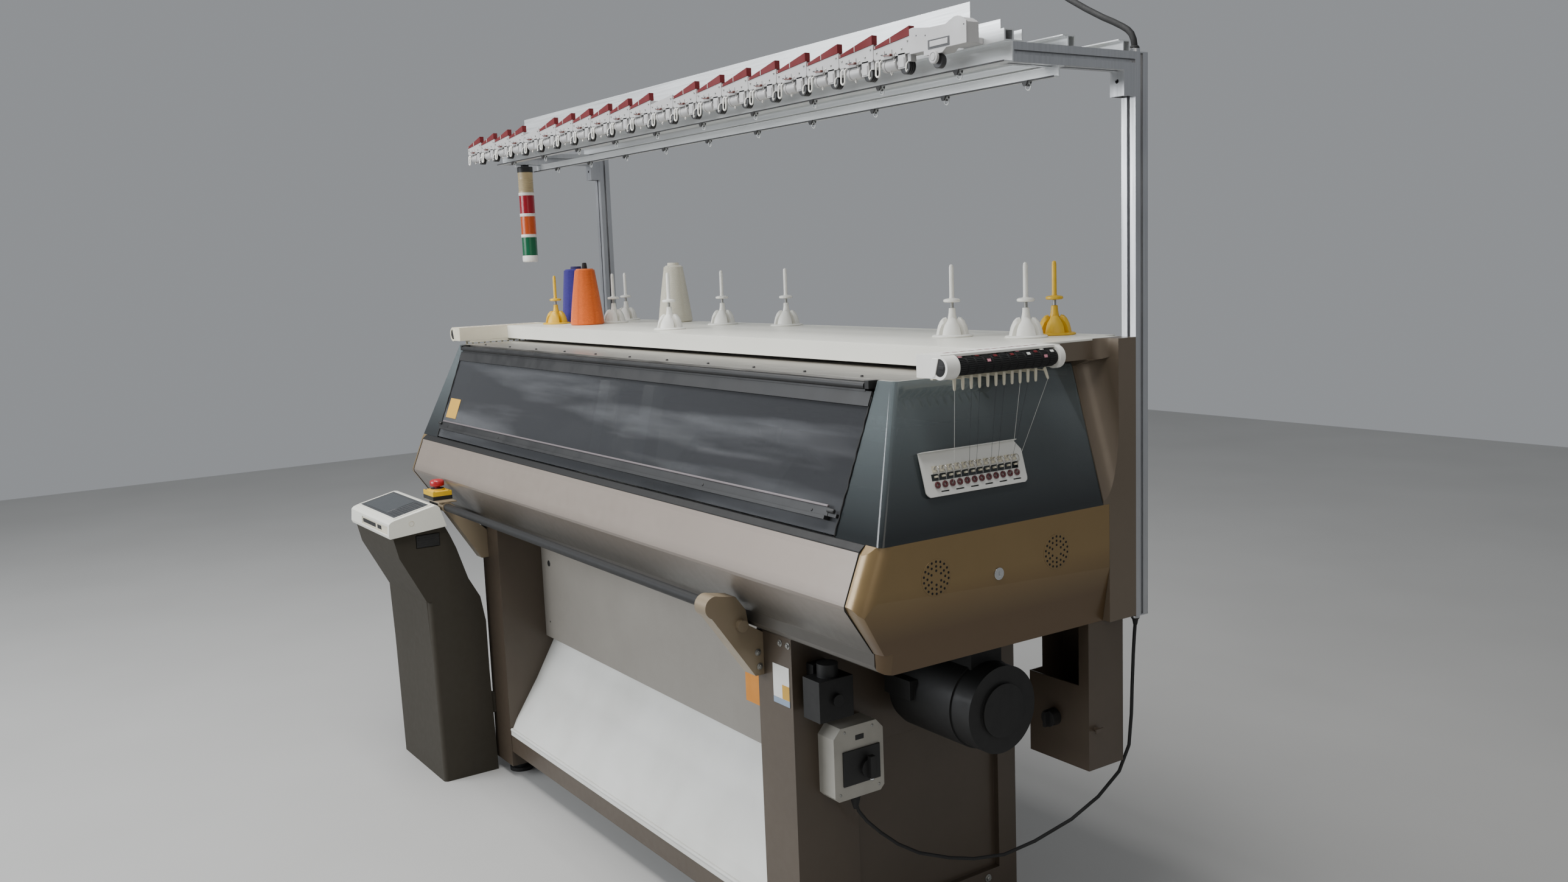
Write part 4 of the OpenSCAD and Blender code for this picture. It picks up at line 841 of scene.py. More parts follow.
ring_section = [(5 + 2.3 * math.cos(a), 2.3 * math.sin(a)) for a in (k * math.tau / 10 for k in range(10))]
ring = Form().turned((11.6, HOOK_D, RING_V), (1, 0, 0), ring_section, 22, ring=True)
clip = Form().block(9.3, 13.4, 217.5, 226.5, 129, 142).block(9.3, 15, 219, 225, 118, 122)
bend = [(13, 139), (17, 140.5), (22, 139.5), (25.2, 136), (26, 131), (24.8, 126), (22, 123.6), (19.5, 124.6)]
wire_hook = Form().wire([(w, HOOK_D, v) for w, v in bend], 1.25, 8)
wire_hook.wire([(13, 225, 133), (16.5, 225, 131), (17.5, 224.5, 122), (16, 224, 112)], 0.7, 6)
wire_hook.turned((13.3, 220, 136.5), (1, 0, 0), [(2.2, 0), (2.2, 1.0), (1.4, 1.6)], 10)
for side, label in ((1, "right"), (-1, "left")):
    rings = repeat(on_window(ring, side), "guide_rings_" + label, maroon_ceramic,
                   step=(0, HOOK_STEP, 0), count=WHEELS)
    repeat(on_window(clip, side), "guide_clips_" + label, cream_plastic,
           step=(0, HOOK_STEP, 0), count=WHEELS)
    repeat(on_window(wire_hook, side), "guide_hooks_" + label, spring_steel,
           step=(0, HOOK_STEP, 0), count=WHEELS)
    if side == 1:
        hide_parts("guide_eyelets")
yarn_white = moulded("white_yarn", "#E9E7E0", "#CFCBC0", 0.8, grain=0.3)
yarn_dark = moulded("dark_yarn", "#3A3A40", "#2A2A2E", 0.8, grain=0.3)
# Each thread is the number of its finger and of its hook
for finish, picked in ((yarn_white, ((0, 2), (8, 10), (11, 11))),
                       (yarn_dark, ((2, 4), (3, 5), (5, 7), (6, 8), (9, 10)))):
    form = Form()
    for side in (1, -1):
        for number, hook in picked:
            swing = 12 if side == 1 and number == WHEELS - 1 else 0
            hook_d = HOOK_D + HOOK_STEP * hook
            start = Vector((FINGER_X + 2, FINGER_D + WHEEL_STEP * number + swing, 1421))
            loop_at = WINDOW @ Vector((24.6, hook_d, 127))
            eye = WINDOW @ Vector((13.5, hook_d, RING_V))
            inside = WINDOW @ Vector((9.5, hook_d, RING_V))
            path = [start, start.lerp(loop_at, 0.5), loop_at, eye, inside]
            form.wire([(side * p.x, p.y, p.z) for p in path], 0.35, 5)
    make(form, finish.name + "_threads", finish)
print("rings and hooks on each side:", WHEELS)

# %% [markdown]
# ## Tension units on the gantry
#
# Twenty units hang on the front rail. Each has a grey cover plate, a round body, a white wire
# loop, four dark tension discs and a small brown lever. A knot or a yarn break tips the lever and
# lights the tower. A unit is drawn in its own coordinates: x from its right edge, z from the top
# of the rail. Each finish of it is one form, and the row tree lays out twenty of that.

# %% One tension unit, then twenty
UNITS = 20
UNIT_STEP = 2 * HALF / 21.3     # 21.3 units would fill the whole length
UNIT_WIDE = UNIT_STEP - 2
UNIT = Matrix.Translation((HALF - 162.5, 0, RAIL_TOP))


def row_of_units(form, name, finish):
    return repeat(form.moved(UNIT), name, finish, step=(-UNIT_STEP, 0, 0), count=UNITS)


shell = Form()
shell.plate([(-UNIT_WIDE, -2), (3 - UNIT_WIDE, -6), (-4, -6), (0, -2), (0, 28), (-UNIT_WIDE, 16)],
            "d", 299, 301.4)
shell.plate([(3 - UNIT_WIDE, -4), (-3, -4), (-3, 27), (3 - UNIT_WIDE, 15.5)], "d", 301, 330)
barrel = [(9, 0), (12.4, 1.4), (13.4, 4), (13.4, 12), (11.6, 12.6), (11.6, 14.4), (13.4, 15), (13.4, 44),
          (12.6, 47), (9, 48)]
shell.turned((-98, 312, -21), (1, 0, 0), barrel, 26)
shell.turned((-51, 312, -21), (1, 0, 0), [(4, 0), (4, 3), (9.5, 3.4), (9.5, 9), (7, 10)], 20)
for box in ((-40, -17, 299, 326, -34, -3), (-37, -20, 297.4, 299.5, -31, -12),
            (-94, -58, 297, 322, -8.6, -4), (-14, -4, 303, 318, -22, -3),
            (-116, -104, 300, 316, -20, -4), (-104, -96, 305, 316, -14, -4),
            (-46, -14, 328, 404.7, 2, 14), (-36, -24, 329, 346, -4, 6),
            (-88, -83, 297.6, 300, -6, 9), (-64, -59, 297.6, 300, -6, 9)):
    shell.block(*box)
units = row_of_units(shell, "tension_unit_shells", light_grey_plastic)
discs = Form()
dish = [(5, 0), (13.5, 0.3), (15.4, 1.2), (15.8, 2.4), (13.5, 3.2), (5, 3.4)]
for d in (303, 308, 313, 318):
    discs.turned((-24, d, -30), (0, 1, 0), dish, 28)
discs.turned((-24, 302, -30), (0, 1, 0), [(4, 0), (4, 22)], 12)
discs.block(-49.5, -41, 304, 320, -17, -6.3).block(-96, -76, 298.2, 299.2, 1, 3)
row_of_units(discs, "tension_discs", dark_grey_plastic)
loop = Form().wire([(-110, 302, -9), (-110, 296.4, -13)] +
                   arc((-103.5, 295.6, -35), 6.5, 180, 360, 8) +
                   [(-97, 296.4, -13), (-97, 302, -9)], 1.9, 8)
loop.wire([(-12, 304, -20), (-12, 298, -26), (-11, 295, -38), (-8, 294, -43), (-5, 295, -39)], 1.2, 6)
row_of_units(loop, "tension_wire_loops", white_plastic)
hooks = Form()
hooks.wire([(-70, 306, -33), (-70, 304, -38), (-67, 303, -42), (-63, 303, -39), (-64, 303.5, -36)], 0.9, 6)
hooks.wire([(-47, 299, 2), (-47, 295.5, -3), (-48.5, 294.6, -16), (-45.5, 294.6, -19)], 0.9, 6)
row_of_units(hooks, "unit_wire_hooks", spring_steel)
lever = Form().block(-84, -58, 294.5, 296.4, -3.5, -1, Matrix.Rotation(math.radians(7), 3, "Y"))
lever.turned((-60, 292.5, -2), (0, 1, 0), [(1.8, 0), (2.6, 0.8), (2.6, 5), (1.8, 6.6)], 10)
row_of_units(lever, "stop_levers", brown_plastic)
screws = Form()
for x, z in ((-9, 19), (-110, 9), (-28, 6)):
    screws.turned((x, 299.2, z), (0, -1, 0), [(2.6, 0), (2.6, 1.1), (1.9, 1.9), (0.9, 1.9), (0.9, 1.2)], 12)
row_of_units(screws, "unit_screws", screw_zinc)
print("units:", len(units.data.polygons), "faces in the shells")

# %% [markdown]
# ## The end block of the front rail
#
# A wider block of the same grey plastic closes the row at the right end of the rail. A strip runs
# from it behind all the units. Thin pale lines divide the red flags. Two of the twenty units have
# no flag.

# %% End block, its recess, and the lines on the flags
RAIL_END = Matrix.Translation((HALF, 0, RAIL_TOP))
NO_FLAG = (8, 15)
outline = [(-162, -10), (-118, -10), (-118, -20), (-62, -20), (-50, -12), (9, -12), (9, 30), (4, 34),
           (-8, 41), (-16, 43), (-26, 43), (-34, 40), (-52, 33), (-100, 34), (-150, 41), (-162, 40)]
block_end = Form().plate(outline, "d", 296, 299)
block_end.plate([(x * 0.985 - 1, z * 0.95) for x, z in outline], "d", 298.5, 330)
block_end.block(-120, -60, 328, 404.7, 2, 14)
block_end.block(-2 * HALF, -150, 345, 352, -4, 8)
block_end.block(-98, -44, 294.2, 297, -5, 6)
dial = [(7, 0), (7, 1.5), (9, 1.6), (9, 0.4), (12.4, 1), (13, 3), (13, 7), (10, 8), (6, 9), (6, 12)]
block_end.turned((-86, 291, -26), (0, 1, 0), dial, 30)
end_block = make(block_end.moved(RAIL_END), "unit_end_block", light_grey_plastic, bevel=0.6)
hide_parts("tension_units")
# The dark plate round the grey inset is the painted shadow of the recessed slot, and three small dark discs
# are painted shade in holes
recess_shade_and_disc = Form().block(-104, -40, 295.3, 297, -9, 9)
for x, z in ((-140, 24), (-112, 20), (2, 24)):
    recess_shade_and_disc.turned((x, 295.6, z), (0, 1, 0), [(1.2, 0), (1.6, 0.2), (1.6, 1)], 12)
recess_shade_and_disc.turned((-86, 304, -33), (0, 1, 0), [(13, 0), (14.4, 1), (14.4, 12), (13, 13)], 26)
make(recess_shade_and_disc.moved(RAIL_END), "unit_end_recess", dark_grey_plastic)
lines = Form()
for number in range(UNITS):
    if number not in NO_FLAG:
        for share, wide in ((0.47, 1.2), (0.03, 0.8)):
            left = 2 - UNIT_WIDE + share * (UNIT_WIDE - 4) - number * UNIT_STEP
            foot = 16.6 + share * 11.5
            top = foot + 5 + 15 * share
            lines.plate([(left, foot + 0.3), (left + wide, foot + 0.4), (left + wide, top), (left, top)],
                        "d", 297.2, 298.6)
make(lines.moved(UNIT), "flag_division_lines", sticker_white)
print("flags:", UNITS - len(NO_FLAG))

# %% [markdown]
# ## Signal tower
#
# Four sections hang under the left end of the gantry: a tan buzzer, then a red, an orange and a
# green lens, with white rings between them. The lenses are moulded with fine ridges that spread
# the light. A turned outline with small ridges gives each one.

# %% Tower sections and lenses
TOWER_X, TOWER_D = -1275.0, 500.0
LENS_HIGH = 71
LENSES = (("red", lens_red, 1958), ("orange", lens_orange, 1883), ("green", lens_green, 1808))


def tower_part(name, finish, outline, z):
    form = Form().turned((TOWER_X, TOWER_D, z), (0, 0, 1), outline, 36)
    return make(form, name, finish, smooth=40)


ridges = [(26.6 + 0.5 * (k % 2), LENS_HIGH * k / 28) for k in range(29)]
for label, finish, top in LENSES:
    lens = tower_part("tower_lens_" + label, finish, ridges, top - LENS_HIGH)
    if label == "red":
        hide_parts("tower_lenses")
collar = [(26.5, 0), (28, 0.5), (28.4, 1.4), (28.4, 9.6), (28, 10.5), (26.5, 11)]
for number, (label, finish, top) in enumerate(LENSES):
    tower_part(f"tower_ring_{number}", white_plastic, collar, top - 3.5)
slats = [(27 - 1.2 * (k % 2), 8 + 3 * k) for k in range(16)]
buzzer = tower_part("tower_buzzer", tan_plastic,
                    [(26, 0), (27, 1)] + slats + [(27, 60), (27, 75), (26, 76)], 1962)
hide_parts("signal_tower")
tower_part("tower_cap", black_plastic,
           [(27, 0), (28, 0.6), (28, 18), (26, 20), (14, 20), (14, 26)], 2037)
tower_part("tower_foot", white_plastic,
           [(18, 0), (26, 1.5), (27.8, 4), (28.2, 8), (28.2, 21), (26.6, 25)], 1715)
print("tower stands at x", TOWER_X)

# %% [markdown]
# ## Cone holders
#
# A holder is moulded in one piece: a flat foot disc, a bell cut into four lobes that grip the
# inside of a yarn cone, and a neck. A steel pin stands in the neck, with a washer and a plastic
# sleeve on it, over which the tip of the cone goes. Seven are white and two are yellow. Each lobe
# is a part-turned shell with closed sides, so the openings between the lobes are real.

# %% Holders stood on the table by the point tree


def lobe(form, start, end):
    inner = [(11, 3), (10, 20), (9, 38)]
    outer = [(15, 47), (22, 45.4), (29, 38), (34.6, 26), (38, 12), (39.6, 3)]
    profile = inner + outer
    steps, n = 7, len(profile)
    corners = []
    for k in range(steps):
        share = k / (steps - 1)
        a = math.radians(start + (end - start) * share)
        drop = 1 - 0.22 * (2 * share - 1) ** 4
        corners += [(r * math.cos(a), r * math.sin(a), TABLE_TOP + z * drop) for r, z in profile]
    faces = [[k * n + j, k * n + (j + 1) % n, (k + 1) * n + (j + 1) % n, (k + 1) * n + j]
             for k in range(steps - 1) for j in range(n)]
    form.add(corners, faces + [list(range(n))[::-1], [(steps - 1) * n + j for j in range(n)]])


def holder_form():
    foot_and_neck = [(48, 0), (49.2, 1), (49.2, 3), (47, 4.6), (43.6, 5.4), (20, 5.6), (14, 7), (12, 40),
                     (9.6, 50), (8.2, 58), (7.6, 68), (5, 69)]
    washer_and_sleeve = [(9, 82), (17.4, 82.4), (20, 84), (20.4, 86.4), (19.6, 89), (16, 90.6), (6.4, 92),
                         (5.6, 96), (5.4, 164), (4.4, 170), (2, 172)]
    form = Form().turned((0, 0, TABLE_TOP + 0.1), (0, 0, 1), foot_and_neck, 32)
    for k in range(4):
        lobe(form, 10 + 90 * k, 80 + 90 * k)
    form.turned((0, 0, TABLE_TOP), (0, 0, 1), washer_and_sleeve, 28)
    return form.moved(Matrix.Translation((0, MIDDLE_D, 0)))


white_spots = [(1077, 674), (881, 624), (-37, 775), (-335, 733), (-270, 501), (-937, 655), (-1072, 775)]
yellow_spots = [(1069, 775), (-1124, 519)]
holders = repeat(holder_form(), "white_cone_holders", white_plastic,
                 spots=[(x, d - MIDDLE_D, 0) for x, d in white_spots], smooth=30)
repeat(holder_form(), "yellow_cone_holders", safety_yellow,
       spots=[(x, d - MIDDLE_D, 0) for x, d in yellow_spots], smooth=30)
pin = Form().turned((0, MIDDLE_D, TABLE_TOP), (0, 0, 1), [(3, 66), (4, 67), (4, 83)], 14)
repeat(pin, "holder_pins", screw_zinc,
       spots=[(x, d - MIDDLE_D, 0) for x, d in white_spots + yellow_spots])
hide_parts("cone_holders")
print("holders:", len(white_spots), "white and", len(yellow_spots), "yellow")

# %% [markdown]
# ## Wound yarn cones
#
# A yarn cone is a paper tube with yarn laid on it in crossing turns, so its face shows a diamond
# net of strands. Paint can't give that edge, so real strands are wound over a turned core: six
# climb and six descend. The strands are 1.6 mm thick here and stand for finer yarn.

# %% Yarn finish, and the path of a strand
CONE_FOOT, CONE_HIGH = 59.0, 195.0
STRANDS, TURNS, POINTS_A_TURN = 6, 16, 18
STRAND_RADIUS = 0.8


def yarn_finish(name, dye, shade):
    material, tree, shader, place = new_material(name, **{"Roughness": 0.9, "Sheen Weight": 0.2,
                                                          "Sheen Roughness": 0.5})
    fibre = noise(tree, place, 2.0, 4)
    mixed = blend_colour(tree, remap(tree, fibre, 0.3, 0.7, 0, 0.8), dye, shade)
    tree.links.new(mixed, shader.inputs["Base Color"])
    bump = add_node(tree, "ShaderNodeBump", {"Strength": 0.4, "Distance": 0.0004, "Height": fibre})
    tree.links.new(bump.outputs[0], shader.inputs["Normal"])
    return material


def cone_radius(z, shrink):
    share = max(0.0, min(1.0, (z - 4) / (CONE_HIGH - 12)))
    return (CONE_FOOT - shrink * share) * (1 + 0.02 * math.sin(math.pi * share)) - 1.4


def strand(x, d, shrink, number, way):
    """The path of one strand round the cone: way is 1 for climbing turns, -1 for descending ones."""
    path = []
    for k in range(TURNS * POINTS_A_TURN + 1):
        z = 5 + 183 * k / (TURNS * POINTS_A_TURN)
        a = way * (k / POINTS_A_TURN + number / STRANDS) * math.tau
        r = cone_radius(z, shrink) + 0.3 + 0.15 * math.sin(k * 0.9 + number)
        path.append((x + r * math.cos(a), d + r * math.sin(a), TABLE_TOP + z))
    return path


print("radius half way up:", round(cone_radius(CONE_HIGH / 2, 24), 1), "mm")

# %% [markdown]
# ## Three cones
#
# Each cone has its own colours and narrows by its own amount. The orange one has a closed dark tip,
# and the other two show the open end of their paper tube.

# %% An orange, a purple and a white cone
# Each row gives the name, the place, the narrowing, two yarn colours and the colour of the tip
for label, x, d, shrink, dye, shade, tip in (("orange", -917, 540, 24, "#E26A12", "#BE560C", "#1C1A1A"),
                                             ("purple", -1168, 628, 14, "#3A2C92", "#2C2170", "#3A3060"),
                                             ("white", -694, 765, 26, "#E6E2D3", "#C9C3AE", "#D8D2C0")):
    yarn = yarn_finish(label + "_wound_yarn", dye, shade)
    side_outline = [(cone_radius(z, shrink), z) for z in range(4, 190, 12)]
    core_outline = [(16, 0.2), (CONE_FOOT - 5, 0.4)] + side_outline
    core_outline += [(cone_radius(187, shrink) - 5, 192.6), (23, 193)]
    core = Form().turned((x, d, TABLE_TOP), (0, 0, 1), core_outline, 40)
    for number in range(STRANDS):
        for way in (1, -1):
            core.wire(strand(x, d, shrink, number, way), STRAND_RADIUS, 5)
    wound = make(core, label + "_yarn_cone", yarn, smooth=60)
    tube = Form()
    if label == "orange":
        closed_tip = [(10, 186), (9.4, 195), (8, 210), (6, 213.6), (3, 214)]
        tube.turned((x, d, TABLE_TOP), (0, 0, 1), closed_tip, 24)
    else:
        open_tip = [(13.6, 186), (20, 188), (20, 193), (19.2, 200), (18.6, 202), (16.4, 202), (14, 176)]
        tube.turned((x, d, TABLE_TOP), (0, 0, 1), open_tip, 32, ring=True)
    make(tube, label + "_cone_tube", yarn_finish(label + "_paper_tube", tip, tip))
    if label == "orange":
        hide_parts("yarn_cones")
print("cones wound, each with", 2 * STRANDS, "strands")

# %% [markdown]
# ## Needles
#
# Each bed of the real machine holds several hundred latch needles, one in each groove, with a hook
# at the tip and butts that the carriage's cams push. They show faintly behind the smoked cover,
# and plainly when it is open. Here a needle is a bent wire with three small butts, and the row
# tree lays them every 5 mm.

# %% Two rows of needles and the butts that the cams push
BED_D, BED_TOP = 344.0, 1225.0      # the upper edge of the front bed
BED_MIDDLE_D = 350      # the rear bed mirrors the front one in this depth
NEEDLES, NEEDLE_STEP = 241, 5
FIRST_NEEDLE_X = -600
DIAGONAL = 0.7071       # both beds lean by 45 degrees


def slope(run, high):
    """A point run mm down the front bed and high mm above its face."""
    return (0, BED_D - run * DIAGONAL - high * DIAGONAL, BED_TOP - run * DIAGONAL + high * DIAGONAL)


def needle_form():
    x = FIRST_NEEDLE_X
    path = [slope(150, 2.6), slope(40, 2.6), slope(6, 2.6), slope(-3, 2.8), slope(-5.2, 3.6),
            slope(-5.4, 5.2), slope(-3.6, 5.6)]
    form = Form().wire([(x, p[1], p[2]) for p in path], 0.55, 5)
    for run in (60, 104, 146):
        a, b = slope(run, 2.2), slope(run + 5, 5.2)
        form.block(x - 0.5, x + 0.5, min(a[1], b[1]), max(a[1], b[1]), min(a[2], b[2]), max(a[2], b[2]))
    return form


def rear(form):
    other = Form()
    return other.add([(p.x, 2 * BED_MIDDLE_D - p.y, p.z) for p in form.points],
                     [face[::-1] for face in form.faces])


for form, name in ((needle_form(), "front_needles"), (rear(needle_form()), "rear_needles")):
    repeat(form, name, spring_steel, step=(NEEDLE_STEP, 0, 0), count=NEEDLES)
print("needles:", 2 * NEEDLES)

# %% [markdown]
# ## Seals and lips of the front cover
#
# The smoked front cover is a sheet of acrylic that swings up. A soft black seal is pushed on its
# side edges and never lies quite straight. The handle rail under it is black with a lighter lip
# where hands have polished it. All of these swing with the cover.

# %% Wavy edge seals and the handle's polished lip
COVER_TILT = math.atan(0.389)
COVER_LONG = 305.8
SEAL_STEPS = 45
FRONT = Matrix.Translation((0, 57, SILL)) @ Matrix.Rotation(-COVER_TILT, 4, "X")
seal = Form()
for side in (1, -1):
    path = []
    for k in range(SEAL_STEPS + 1):
        share = k / SEAL_STEPS
        wave = 0.8 * math.sin(k * 1.3 + side) + 1.1 * max(0, math.sin(k * 0.37 + 2)) ** 6
        path.append((side * (1147.2 + wave), -1.6 - 0.5 * math.sin(k * 0.7), 3 + share * (COVER_LONG - 12)))
    seal.wire(path, 1.9, 8)
make(seal.moved(FRONT), "cover_edge_seals", black_rubber, "front_cover")
lip = Form().block(-1112, 1112, -11.5, -6.2, 56.4, 61.5)
make(lip.moved(FRONT), "handle_lip", worn_grey_plastic, "front_cover", bevel=1.2)
pins = Form()
for side in (1, -1):
    x0, x1 = sorted((side * 1117, side * 1139))
    pins.turned((x0, -11, 50), (1, 0, 0), [(4.4, 0), (5.2, 1), (5.2, x1 - x0 - 3), (3.4, x1 - x0)], 18)
    for x in (1060, 620):
        pins.turned((side * x, -8.6, 44), (0, -1, 0), [(3.2, 0), (3.2, 1.2), (2.2, 2)], 12)
make(pins.moved(FRONT), "handle_pins", black_plastic, "front_cover")
field = Form().block(-1125, -1035, -0.9, -0.1, 74, 142)
make(field.moved(FRONT), "plain_yellow_field", sticker_yellow, "front_cover")
print("the cover leans by", round(math.degrees(COVER_TILT), 1), "degrees")

# %% [markdown]
# ## Vents and seams of the end caps, and the edge of the chute
#
# Each end cap has two round vents, with rings of 6, 12 and 18 holes, each drawn as a black disc of painted
# shade.
# The joint between the fascia and the cap is a thin dark line. The knitted fabric slides down the
# chute, whose lower edge is rolled so that it doesn't catch.

# %% Vents, seams and rolled edge
VENT_DEPTHS, VENT_Z = (196, 537), 1046
VENT_RINGS = ((6, 14.5), (12, 23.5), (18, 33.0))        # holes in a ring, and its radius
VENT_OUTLINE = [(38.5, 0), (38.5, 0.5), (38.1, 0.7)]
discs, holes = Form(), Form()
for side in (1, -1):
    for d in VENT_DEPTHS:
        discs.turned((side * (HALF - 0.1), d, VENT_Z), (side, 0, 0), VENT_OUTLINE, 48)
        for many, far in VENT_RINGS:
            for k in range(many):
                a = math.pi / 2 + k * math.tau / many
                holes.turned((side * (HALF + 0.5), d + far * math.cos(a), VENT_Z + far * math.sin(a)),
                             (side, 0, 0), [(2.7, 0), (2.7, 0.3)], 10)
make(discs, "vent_discs", gold_enamel, smooth=20)
# Black discs of painted shade stand for the holes
make(holes, "vent_holes", shade_and_seam_black, smooth=20)
seam = Form()
seam_path = [(57, 1113.6), (39.6, 1113.6), (35.3, 1101.4), (1.4, 1017.2), (-0.5, 1011), (0.5, 1003.6),
             (7.5, 993.6), (67.4, 904)]
for side in (1, -1):
    seam.wire([(side * 1249.7, d, z) for d, z in seam_path], 1.1, 8)
make(seam, "cap_seams", shade_and_seam_black)
hem = Form().wire([(-771, 104.5, 168), (771, 104.5, 168)], 5, 14)
hem.block(-771, 771, 101, 104, 150, 167)
make(hem, "chute_rolled_edge", white_enamel, smooth=50)
print("holes in each vent:", sum(many for many, far in VENT_RINGS))

# %% [markdown]
# ## Bolts, dark discs and plain fields
#
# Hex bolts sit on the legs and on the right arm of the start bar. The open holes of the shield
# panel are black discs of painted shade, and black discs on the top strip stand for its dark screw
# heads. Coloured fields stay plain. A rubber strip lies in the start bar.

# %% Bolts, hole shade, screw heads, plain fields and the strip in the start bar


def hex_bolt(form, foot, axis, across, high):
    form.turned(foot, axis, [(across + 3, 0), (across + 3, 1.2), (across, 1.6)], 24)
    head = [(across, 0), (across, high), (across - 1.2, high + 0.8)]
    form.turned(Vector(foot) + Vector(axis) * 1.4, axis, head, 6)


bolts = Form()
for side in (1, -1):
    for x in (868, 899):
        hex_bolt(bolts, (side * x, 99.8, 834), (0, -1, 0), 5, 3)
for x, d, z in ((799.3, 84, 800), (799.3, 88, 766)):
    hex_bolt(bolts, (x, d, z), (1, 0, 0), 5, 3.4)
for d in (160, 420, 680):
    for side in (1, -1):
        hex_bolt(bolts, (side * 911.2, d, 110), (side, 0, 0), 7, 4)
make(bolts, "hex_bolts", screw_zinc, smooth=20)
hole_shade_and_screws = Form()
# The shield panel's open holes are black discs of painted shade
for x, z, r in ((-716, 722, 10), (-733, 520, 3), (716, 722, 10), (733, 520, 3)):
    hole_shade_and_screws.turned((x, 249.8, z), (0, -1, 0), [(r, 0), (r, 0.6), (r - 1.5, 1.4)], 22)
# Small black discs on the top strip stand for its dark screw heads
for k in range(-5, 6):
    hole_shade_and_screws.turned((k * 210, 215, 1435.6), (0, 0, 1), [(3.6, 0), (3.6, 3.4), (2.4, 4.4)], 14)
make(hole_shade_and_screws, "black_plugs", black_plastic)
for name, finish, box in (("plain_orange_field", sticker_orange, (478, 548, 249, 249.8, 566, 650)),
                          ("plain_white_field", sticker_white, (836, 900, 98.8, 99.8, 704, 782)),
                          ("plain_yellow_strip", sticker_yellow, (872, 900, 98.4, 99, 705, 738)),
                          ("plain_blue_strip", sticker_blue, (836, 900, 98.6, 99.8, 690, 703.6))):
    make(Form().block(*box), name, finish)
inlay = Form().wire([(-850, -30, 940.2), (741, -30, 940.2)], 2.1, 10)
make(inlay, "start_bar_inlay", black_rubber, "start_bar", smooth=50)
print("bolts, plugs and fields made")

# %% [markdown]
# ## The rear panel
#
# The photograph doesn't show the back. Pressed louvres in four columns and a row of screws along
# the top and the foot are usual on such a panel, and both are a guess.

# %% Louvres, their dark mouths, and the screws of the rear panel
LOUVRE_SPOTS = [(x, 0, 1160 + 24 * k) for x in (-770, -550, 550, 770) for k in range(9)]
SCREW_XS = (30, 190, 250, 410, 470, 630, 690, 850, 910, 1070)
louvre = Form().plate([(786.8, 0), (790.8, 1), (792, 4), (790.8, 9), (786.8, 11)], "x", -60, 60)
repeat(louvre, "rear_louvres", bronze_enamel, spots=LOUVRE_SPOTS)
# Under each louvre a thin black block is painted shade in its opening
mouth = Form().block(-57, 57, 786.9, 788.6, -2.4, 0.4)
repeat(mouth, "rear_louvre_mouths", shade_and_seam_black, spots=LOUVRE_SPOTS)
screw = Form().turned((0, 786.8, 0), (0, 1, 0), [(5, 0), (5, 1), (3.4, 2.4), (1.2, 2.8)], 14)
repeat(screw, "rear_screws", screw_zinc,
       spots=[(side * x, 0, z) for side in (1, -1) for x in SCREW_XS for z in (892, 1440)])
print("louvres:", len(LOUVRE_SPOTS))

# %% [markdown]
# ## Operator console
#
# The head's top is nearly all black glass: a display on the left and a keypad under a film on the
# right. The glass stands in a thin raised frame. In the front a cream frame surrounds the dark
# slot of the disk drive.

# %% Display glass, keys and disk slot
HEAD = Matrix.Translation((-1265, -196, 911.4)) @ Matrix.Rotation(math.radians(13), 4, "X")
KEY_COLUMNS, KEY_ROWS = 6, 5
glass = Form().block(17, 372, 0.3, 121, 0.2, 2.2)
bezel = make(glass.moved(HEAD), "console_glass", display_glass, bevel=0.8)
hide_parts("console_display")
screen = Form().block(34, 262, 10, 111, 2.1, 2.7)
make(screen.moved(HEAD), "display_area", screen_glass, bevel=0.3)
keys = Form()
for column in range(KEY_COLUMNS):
    for row in range(KEY_ROWS):
        x, y = 274 + column * 15.5, 12 + row * 20.5
        keys.block(x, x + 12, y, y + 15, 2.1, 2.9)
make(keys.moved(HEAD), "console_keys", display_glass, bevel=0.7)
rim = Form()
for bar in ((10, 17, -1, 124), (372, 379, -1, 124), (10, 379, -4.5, 0.2), (10, 379, 121.1, 126)):
    rim.block(*bar, -0.4, 3.2)
make(rim.moved(HEAD), "console_glass_frame", cream_enamel, bevel=1.0)
drive = Form().block(-1147, -881, -221.4, -219.2, 865, 889.4)
make(drive, "disk_slot_frame", cream_plastic, bevel=0.6)
slot = Form().block(-1140, -1010, -222.6, -221.2, 871, 884).block(-1142, -1008, -223.4, -222.4, 876.4, 878.4)
slot.block(-990, -950, -222.4, -221.2, 871, 884).block(-888.2, -882.2, -132, -56, 806, 846)
for z in range(810, 846, 6):
    slot.block(-883, -881.4, -129, -59, z, z + 3)
make(slot, "disk_slot_and_port", black_plastic, bevel=0.3)
print("keys:", KEY_COLUMNS * KEY_ROWS)

# %% [markdown]
# ## Emergency stop
#
# The emergency stop has a yellow cover on a black base. The red button stands in a black collar
# and goes down with its own body. A small cream ring sits on the side of the console head.

